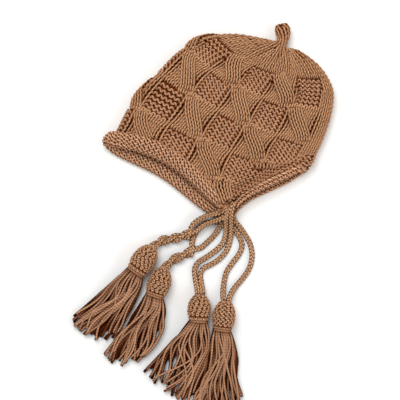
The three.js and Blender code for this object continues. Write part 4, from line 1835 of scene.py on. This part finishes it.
@dataclass
class Ties:
    """The eight strands, two for each tassel; the pairs of tassels 1 and 2 twist round each other."""

    twist_radius: float = 0.00225
    twist_turns: tuple[float, float] = (1.5, 1.0)
    twist_points: int = 15
    closing: float = 0.4
    closing_share: Span = (0.8, 0.2)
    in_head: float = 0.004
    samples: int = 160

    def strands(self) -> list[Tie]:
        """Works out each strand's route.

        Returns:
            The strands, in the order of their names.
        """
        made = []
        for name, points in TIES.items():
            tassel = int(name.removeprefix("tie_")[0])
            route = [*TIE_ROOTS[name], *points]
            nodes = [name]
            if tassel in TWISTS:
                route = route[:-1] + self._twisted(tassel, name.endswith("b"))
                if name.endswith("a"):
                    nodes.append(f"tie_{tassel}_twist")
            line = smooth_route(route, self.samples) + MODEL_PLACE
            made.append(Tie(f"{name}_cord", tassel, line, tuple(nodes)))
        return made

    def _twisted(self, tassel: int, second: bool) -> list[tuple[float, float, float]]:
        """Winds one strand of a pair round the pair's middle line.

        Args:
            tassel: the tassel's number.
            second: whether this is the pair's second strand.

        Returns:
            The strand's points from the start of the twist to the head.
        """
        middle = smooth_route(TWISTS[tassel], self.twist_points)
        along, side, over = line_frame(middle)
        share = np.linspace(0, 1, self.twist_points)
        start = TURN if second else math.pi
        phase = TURN * self.twist_turns[tassel - 1] * share + start
        radius = self.twist_radius * (1 - self.closing * ramp(share, *self.closing_share))[:, None]
        points = middle + radius * (side * np.cos(phase)[:, None] + over * np.sin(phase)[:, None])
        inside = points[-1] + self.in_head * along[-1]
        return [*(tuple(point) for point in points), tuple(inside)]


@dataclass
class Tassel:
    """One tassel: a crocheted head with a bound rim and a skirt of cut strands.

    Across, a skirt runs from 0 at its left edge to 1 at its right edge. Its layers run from -1 at its
    under face to 1 at its upper face, and sheets are the layers with the number of strands in each.
    """

    number: int
    top: Span
    rim: Span
    radius: float
    left: tuple[Span, Span]
    right: tuple[Span, Span]
    bulge: float
    seed: int
    sheets: tuple[tuple[float, int], ...] = ((-0.75, 14), (-0.25, 13), (0.25, 12), (0.6, 10), (0.92, 8))
    jitter: float = 0.2
    drift: float = 0.05
    strays: int = 3
    stray_starts: Span = (0.08, 0.92)
    stray_drift: float = 0.4
    # A strand's places: how far its ends vary, and the waves that it shares with its lock or has alone.
    strand_points: int = 31
    strand_start: float = -0.05
    end_spread: Span = (-0.10, 0.035)
    loosening: float = 2.2
    lock_wave: float = 0.15
    lock_turns: tuple[float, float, float, float] = (0.9, 0.7, 0.37, 0.25)
    sway: tuple[Span, Span] = ((0.015, 0.05), (0.9, 2.0))
    bob: tuple[Span, Span] = ((0.1, 0.25), (0.8, 1.8))
    middle_wave: Span = (0.35, 2.6)
    across_limits: Span = (0.015, 0.985)
    layer_limits: Span = (-0.95, 0.98)
    edge_roundness: float = 0.7
    # A strand's yarn: its radius, how that varies, its cut end, how fast its sides turn to painted shade,
    # and the painted shade on the lower layers and under the rim.
    strand_radius: float = 0.00122
    thickness: Span = (0.92, 1.1)
    cut_end: Span = (1.04, 0.9)
    rounding: float = 1.15
    layer_painted_shade: Span = (-0.45, 1.35)
    rim_painted_shade: Span = (0.9, 0.1)
    rim_half_width: float = 0.0078
    # The head.
    stitch: float = 0.0040
    row_height: float = 0.0034
    rows_clear: Span = (0.4, 0.2)
    inset: float = 0.0011
    core_inset: float = 0.0012
    columns: float = 16.0
    fewest: int = 6
    edge_samples: int = 40
    core_grid: tuple[int, int] = (12, 24)
    tones: Span = (-0.4, 0.4)
    binding: tuple[Span, ...] = ((0.0004, 1.0), (0.0022, 0.97))
    binding_radius: float = 0.0011
    binding_tone: float = -0.2
    # Its last number sets how fast the yarn's sides turn to painted shade.
    loops: Loops = Loops(radius=0.00096, depth=0.00085, samples=16, rounding=0.75)

    def _head_face(self, inset: float, columns: float) -> RoundSurface:
        """Makes the head's face, moved in by an inset."""
        top, rim = (np.array([*end, self.radius]) + MODEL_PLACE for end in (self.top, self.rim))
        shares, widths = np.array(HEAD_OUTLINE).T
        axis = top + (rim - top) * shares[:, None]
        return RoundSurface(axis, widths * self.radius - inset, columns, self.row_height)

    def build_head(self) -> bpy.types.Object:
        """Crochets the head.

        Returns:
            The head's piece.
        """
        mesh = TubeMesh()
        surface = self._head_face(self.inset, self.columns)
        first, clear = self.rows_clear
        for row in np.arange(first, surface.rows - clear, 1.0):
            around = np.linspace(0, self.columns, self.edge_samples)
            length = line_length(surface.place(around, np.full(len(around), row)))
            count = max(self.fewest, round(length / self.stitch))
            ring = (np.arange(count) + random.random()) * self.columns / count
            course = Course.alike(ring, row, self.row_height, Face.PURL, self.columns)
            lay_course(mesh, self.loops, course, surface, random.uniform(*self.tones))
        self._bind(mesh, surface)
        node = f"tassel_head_{self.number}"
        return finished(mesh.build(f"{node}_crochet", TIE_WOOL), "tassel_yarn", node)

    def _bind(self, mesh: TubeMesh, surface: RoundSurface) -> None:
        """Winds the yarn that binds the head's rim.

        Args:
            mesh: the head's mesh.
            surface: the head's face.
        """
        along = unit(surface.axis[-1] - surface.axis[0])
        around = np.linspace(0, surface.columns, self.edge_samples, endpoint=False)
        last = surface.place(around, np.full(len(around), surface.rows))
        middle = last.mean(axis=0)
        for push, grow in self.binding:
            ring = middle + (last - middle) * grow + along * push
            mesh.add(ring, unit(ring - middle), self.binding_radius, closed=True, tone=self.binding_tone)

    def build_core(self) -> bpy.types.Object:
        """Makes the head's stuffed inside, painted dark as the shade that shows between its stitches.

        Returns:
            The core's piece.
        """
        rings, sides = self.core_grid
        surface = self._head_face(self.inset + self.core_inset, float(sides))
        around = np.arange(float(sides))
        made = [surface.place(around, np.full(sides, row)) for row in np.linspace(0, surface.rows, rings)]
        name = f"tassel_head_{self.number}_core"
        return finished(shell_object(name, np.array(made), INNER_PAINTED_SHADE), "tassel_yarn")

    def build_skirt(self) -> bpy.types.Object:
        """Hangs the skirt's strands: sheets of them from the bottom up, then the strays across the top.

        Returns:
            The skirt's piece.
        """
        draw = random.Random(self.seed)
        mesh = TubeMesh()
        for layer, count in self.sheets:
            for k in range(count):
                start = (k + 0.5) / count + draw.uniform(-self.jitter, self.jitter) / count
                self._strand(mesh, draw, start, start + draw.gauss(0, self.drift), layer)
        for _ in range(self.strays):
            start = draw.uniform(*self.stray_starts)
            end = start + math.copysign(self.stray_drift, 0.5 - start)
            self._strand(mesh, draw, start, end, self.sheets[-1][0])
        node = f"tassel_skirt_{self.number}"
        return finished(mesh.build(f"{node}_strands", TASSEL_WOOL), "tassel_yarn", node)

    @staticmethod
    def _wave(draw: random.Random, share: np.ndarray, sizes: Span, turns: Span) -> np.ndarray:
        """Draws a strand's own wave, of a size and a number of turns between the limits."""
        return draw.uniform(*sizes) * np.sin(TURN * (draw.uniform(*turns) * share + draw.random()))

    def _strand(
        self, mesh: TubeMesh, draw: random.Random, start: float, end: float, layer_middle: float
    ) -> None:
        """Lays one strand from under the rim to its cut end.

        Args:
            mesh: the skirt's mesh.
            draw: this skirt's random numbers.
            start: where it leaves the rim, across the skirt.
            end: where it ends, across the skirt.
            layer_middle: the layer that it lies in.
        """
        share = np.linspace(self.strand_start, 1.0 + draw.uniform(*self.end_spread), self.strand_points)
        fade = np.clip(share * self.loosening, 0, 1)
        turns = self.lock_turns
        lock = turns[0] * share + turns[1] * start + turns[2] * self.number + turns[3] * layer_middle
        wave = self.lock_wave * np.sin(TURN * lock)
        wave += self._wave(draw, share, *self.sway)
        drift = start + (end - start) * smooth_step(share)
        at_edge, at_middle = self.middle_wave
        across = np.clip(
            drift + wave * fade * (at_edge + at_middle * drift * (1 - drift)), *self.across_limits
        )
        layer = np.clip(layer_middle + self._wave(draw, share, *self.bob) * fade, *self.layer_limits)
        line = self._in_skirt(share, across, layer) + MODEL_PLACE
        radius = np.full(len(share), self.strand_radius * draw.uniform(*self.thickness))
        radius[-2:] *= self.cut_end
        # Painted shade: the lower layers, and the strands just under the rim, are painted darker.
        dark, reach = self.rim_painted_shade
        low, swing = self.layer_painted_shade
        level = swing * layer + low - dark * np.clip(reach - share, 0, reach) / reach
        mesh.add(line, UPWARD, radius, tone=draw.uniform(-1, 1), level=level, rounding=self.rounding)

    def _in_skirt(self, share: np.ndarray, across: np.ndarray, layer: np.ndarray) -> np.ndarray:
        """Places points in the skirt's form.

        Args:
            share: how far along the skirt, from the rim to the cut ends.
            across: from 0 at its left edge to 1 at its right edge.
            layer: from -1 at its under face to 1 at its upper face.

        Returns:
            The points, shaped (n, 3).
        """
        top, rim = np.array(self.top), np.array(self.rim)
        along = unit(rim - top)
        aside = np.array([along[1], -along[0]]) * self.rim_half_width
        left = through(rim + aside, *self.left, share)
        right = through(rim - aside, *self.right, share)
        places, lows, highs = np.array(SKIRT_SECTION).T
        under = np.interp(share, places, lows) + self.strand_radius
        over = np.interp(share, places, highs) - self.strand_radius
        push = 4 * across * (1 - across) * self.bulge * np.maximum(share, 0) ** 2
        round_edge = (2 * np.sqrt(across * (1 - across))) ** self.edge_roundness
        height = (under + over) / 2 + (over - under) / 2 * layer * round_edge
        plan = left + across[:, None] * (right - left) + push[:, None] * along
        return np.concatenate([plan, height[:, None]], axis=1)


def tassels() -> list[Tassel]:
    """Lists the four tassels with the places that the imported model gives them."""
    return [
        Tassel(
            number=1, top=(-0.0599, -0.1155), rim=(-0.0751, -0.1374), radius=0.0109, bulge=0.006, seed=11,
            left=((-0.107, -0.156), (-0.1335, -0.1785)), right=((-0.0754, -0.164), (-0.095, -0.199)),
        ),
        Tassel(
            number=2, top=(-0.0492, -0.1350), rim=(-0.0576, -0.1588), radius=0.0106, bulge=0.010, seed=12,
            left=((-0.0795, -0.179), (-0.102, -0.209)), right=((-0.050, -0.189), (-0.067, -0.2135)),
        ),
        Tassel(
            number=3, top=(-0.0166, -0.1586), rim=(-0.0182, -0.1815), radius=0.0104, bulge=0.005, seed=13,
            left=((-0.046, -0.204), (-0.0675, -0.2265)), right=((-0.0096, -0.2115), (-0.0230, -0.253)),
        ),
        Tassel(
            number=4, top=(0.0066, -0.1644), rim=(0.0032, -0.1896), radius=0.0104, bulge=0.006, seed=14,
            left=((-0.0112, -0.2160), (-0.0232, -0.2536)), right=((0.018, -0.218), (0.022, -0.255)),
        ),
    ]


# The studio


@dataclass(frozen=True)
class AreaLight:
    """A square light that faces the bonnet: where it hangs, its side and its power in watts."""

    name: str
    place: tuple[float, float, float]
    size: float
    power: float
    target: tuple[float, float, float] = (-0.01, -0.06, 0.0)

    def hang(self) -> None:
        """Adds the light to the scene."""
        data = bpy.data.lights.new(self.name, "AREA")
        data.size = self.size
        data.energy = self.power
        made = bpy.data.objects.new(self.name, data)
        made.location = self.place
        ahead, aside, down = np.array(self.target) - np.array(self.place)
        tilt = math.atan2(math.hypot(ahead, aside), -down)
        made.rotation_euler = (tilt, 0.0, math.atan2(aside, ahead) - math.pi / 2)
        bpy.context.scene.collection.objects.link(made)


@dataclass
class Studio:
    """A pale floor, soft light from all round and a camera straight above."""

    view_middle: tuple[float, float] = (-0.0167, -0.0703)
    view_width: float = 0.360
    view_height: float = 0.012
    camera_height: float = 1.30
    nearest: float = 0.01
    floor_half: float = 3.0
    sensor: float = 36.0
    lights: tuple[AreaLight, ...] = (
        AreaLight("key_light", (-0.3, 0.55, 1.5), 0.9, 17.0),
        AreaLight("side_light", (1.2, -0.4, 1.0), 1.0, 6.0),
    )
    surround: tuple[float, float, float] = (1.0, 0.995, 0.985)
    surround_strength: float = 0.6

    def hang_camera(self) -> None:
        """Hangs the camera over the view's middle."""
        data = bpy.data.cameras.new("camera")
        data.sensor_width = self.sensor
        data.lens = self.sensor * (self.camera_height - self.view_height) / self.view_width
        data.clip_start = self.nearest
        made = bpy.data.objects.new("camera", data)
        made.location = (*self.view_middle, self.camera_height)
        bpy.context.scene.collection.objects.link(made)
        bpy.context.scene.camera = made

    def lay_floor(self) -> None:
        """Lays the floor."""
        bpy.ops.object.select_all(action="DESELECT")
        bpy.ops.mesh.primitive_plane_add(size=2 * self.floor_half, location=(0, 0, 0))
        made = bpy.context.object
        made.name = "floor"
        made.data.materials.append(FLOOR_PAINT.material())
        made.select_set(False)

    def light(self) -> None:
        """Hangs a wide soft light overhead and a weaker one to the right, in an even surround."""
        for light in self.lights:
            light.hang()
        world = bpy.data.worlds.new("surround")
        world.use_nodes = True
        back = world.node_tree.nodes["Background"]
        back.inputs["Color"].default_value = (*self.surround, 1)
        back.inputs["Strength"].default_value = self.surround_strength
        bpy.context.scene.world = world
        bpy.context.scene.view_settings.view_transform = "Standard"


def main() -> None:
    """Builds the pieces in order: the camera, the ties, the tassels and then the bonnet."""
    logging.basicConfig(level=logging.INFO, format="%(message)s")
    random.seed(SEED)
    studio = Studio()
    studio.hang_camera()
    strands = [(strand, strand.build()) for strand in Ties().strands()]
    heads = {}
    for tassel in tassels():
        heads[tassel.number] = tassel.build_head()
        tassel.build_core()
        tassel.build_skirt()
    for strand, piece in strands:
        strand.declare(piece, heads[strand.tassel])
    Crown().build()
    Roll("rolled_brim", RollSurface(BRIM_ROUTE, BRIM_SIDE, stitch=0.0049, rows=10, inset=0.0012)).build()
    Roll("neck_edging", RollSurface(EDGING_ROUTE, EDGING_SIDE, stitch=0.0046, rows=5, inset=0.0010)).build()
    TopNub().build()
    studio.lay_floor()
    studio.light()


if __name__ == "__main__":
    main()
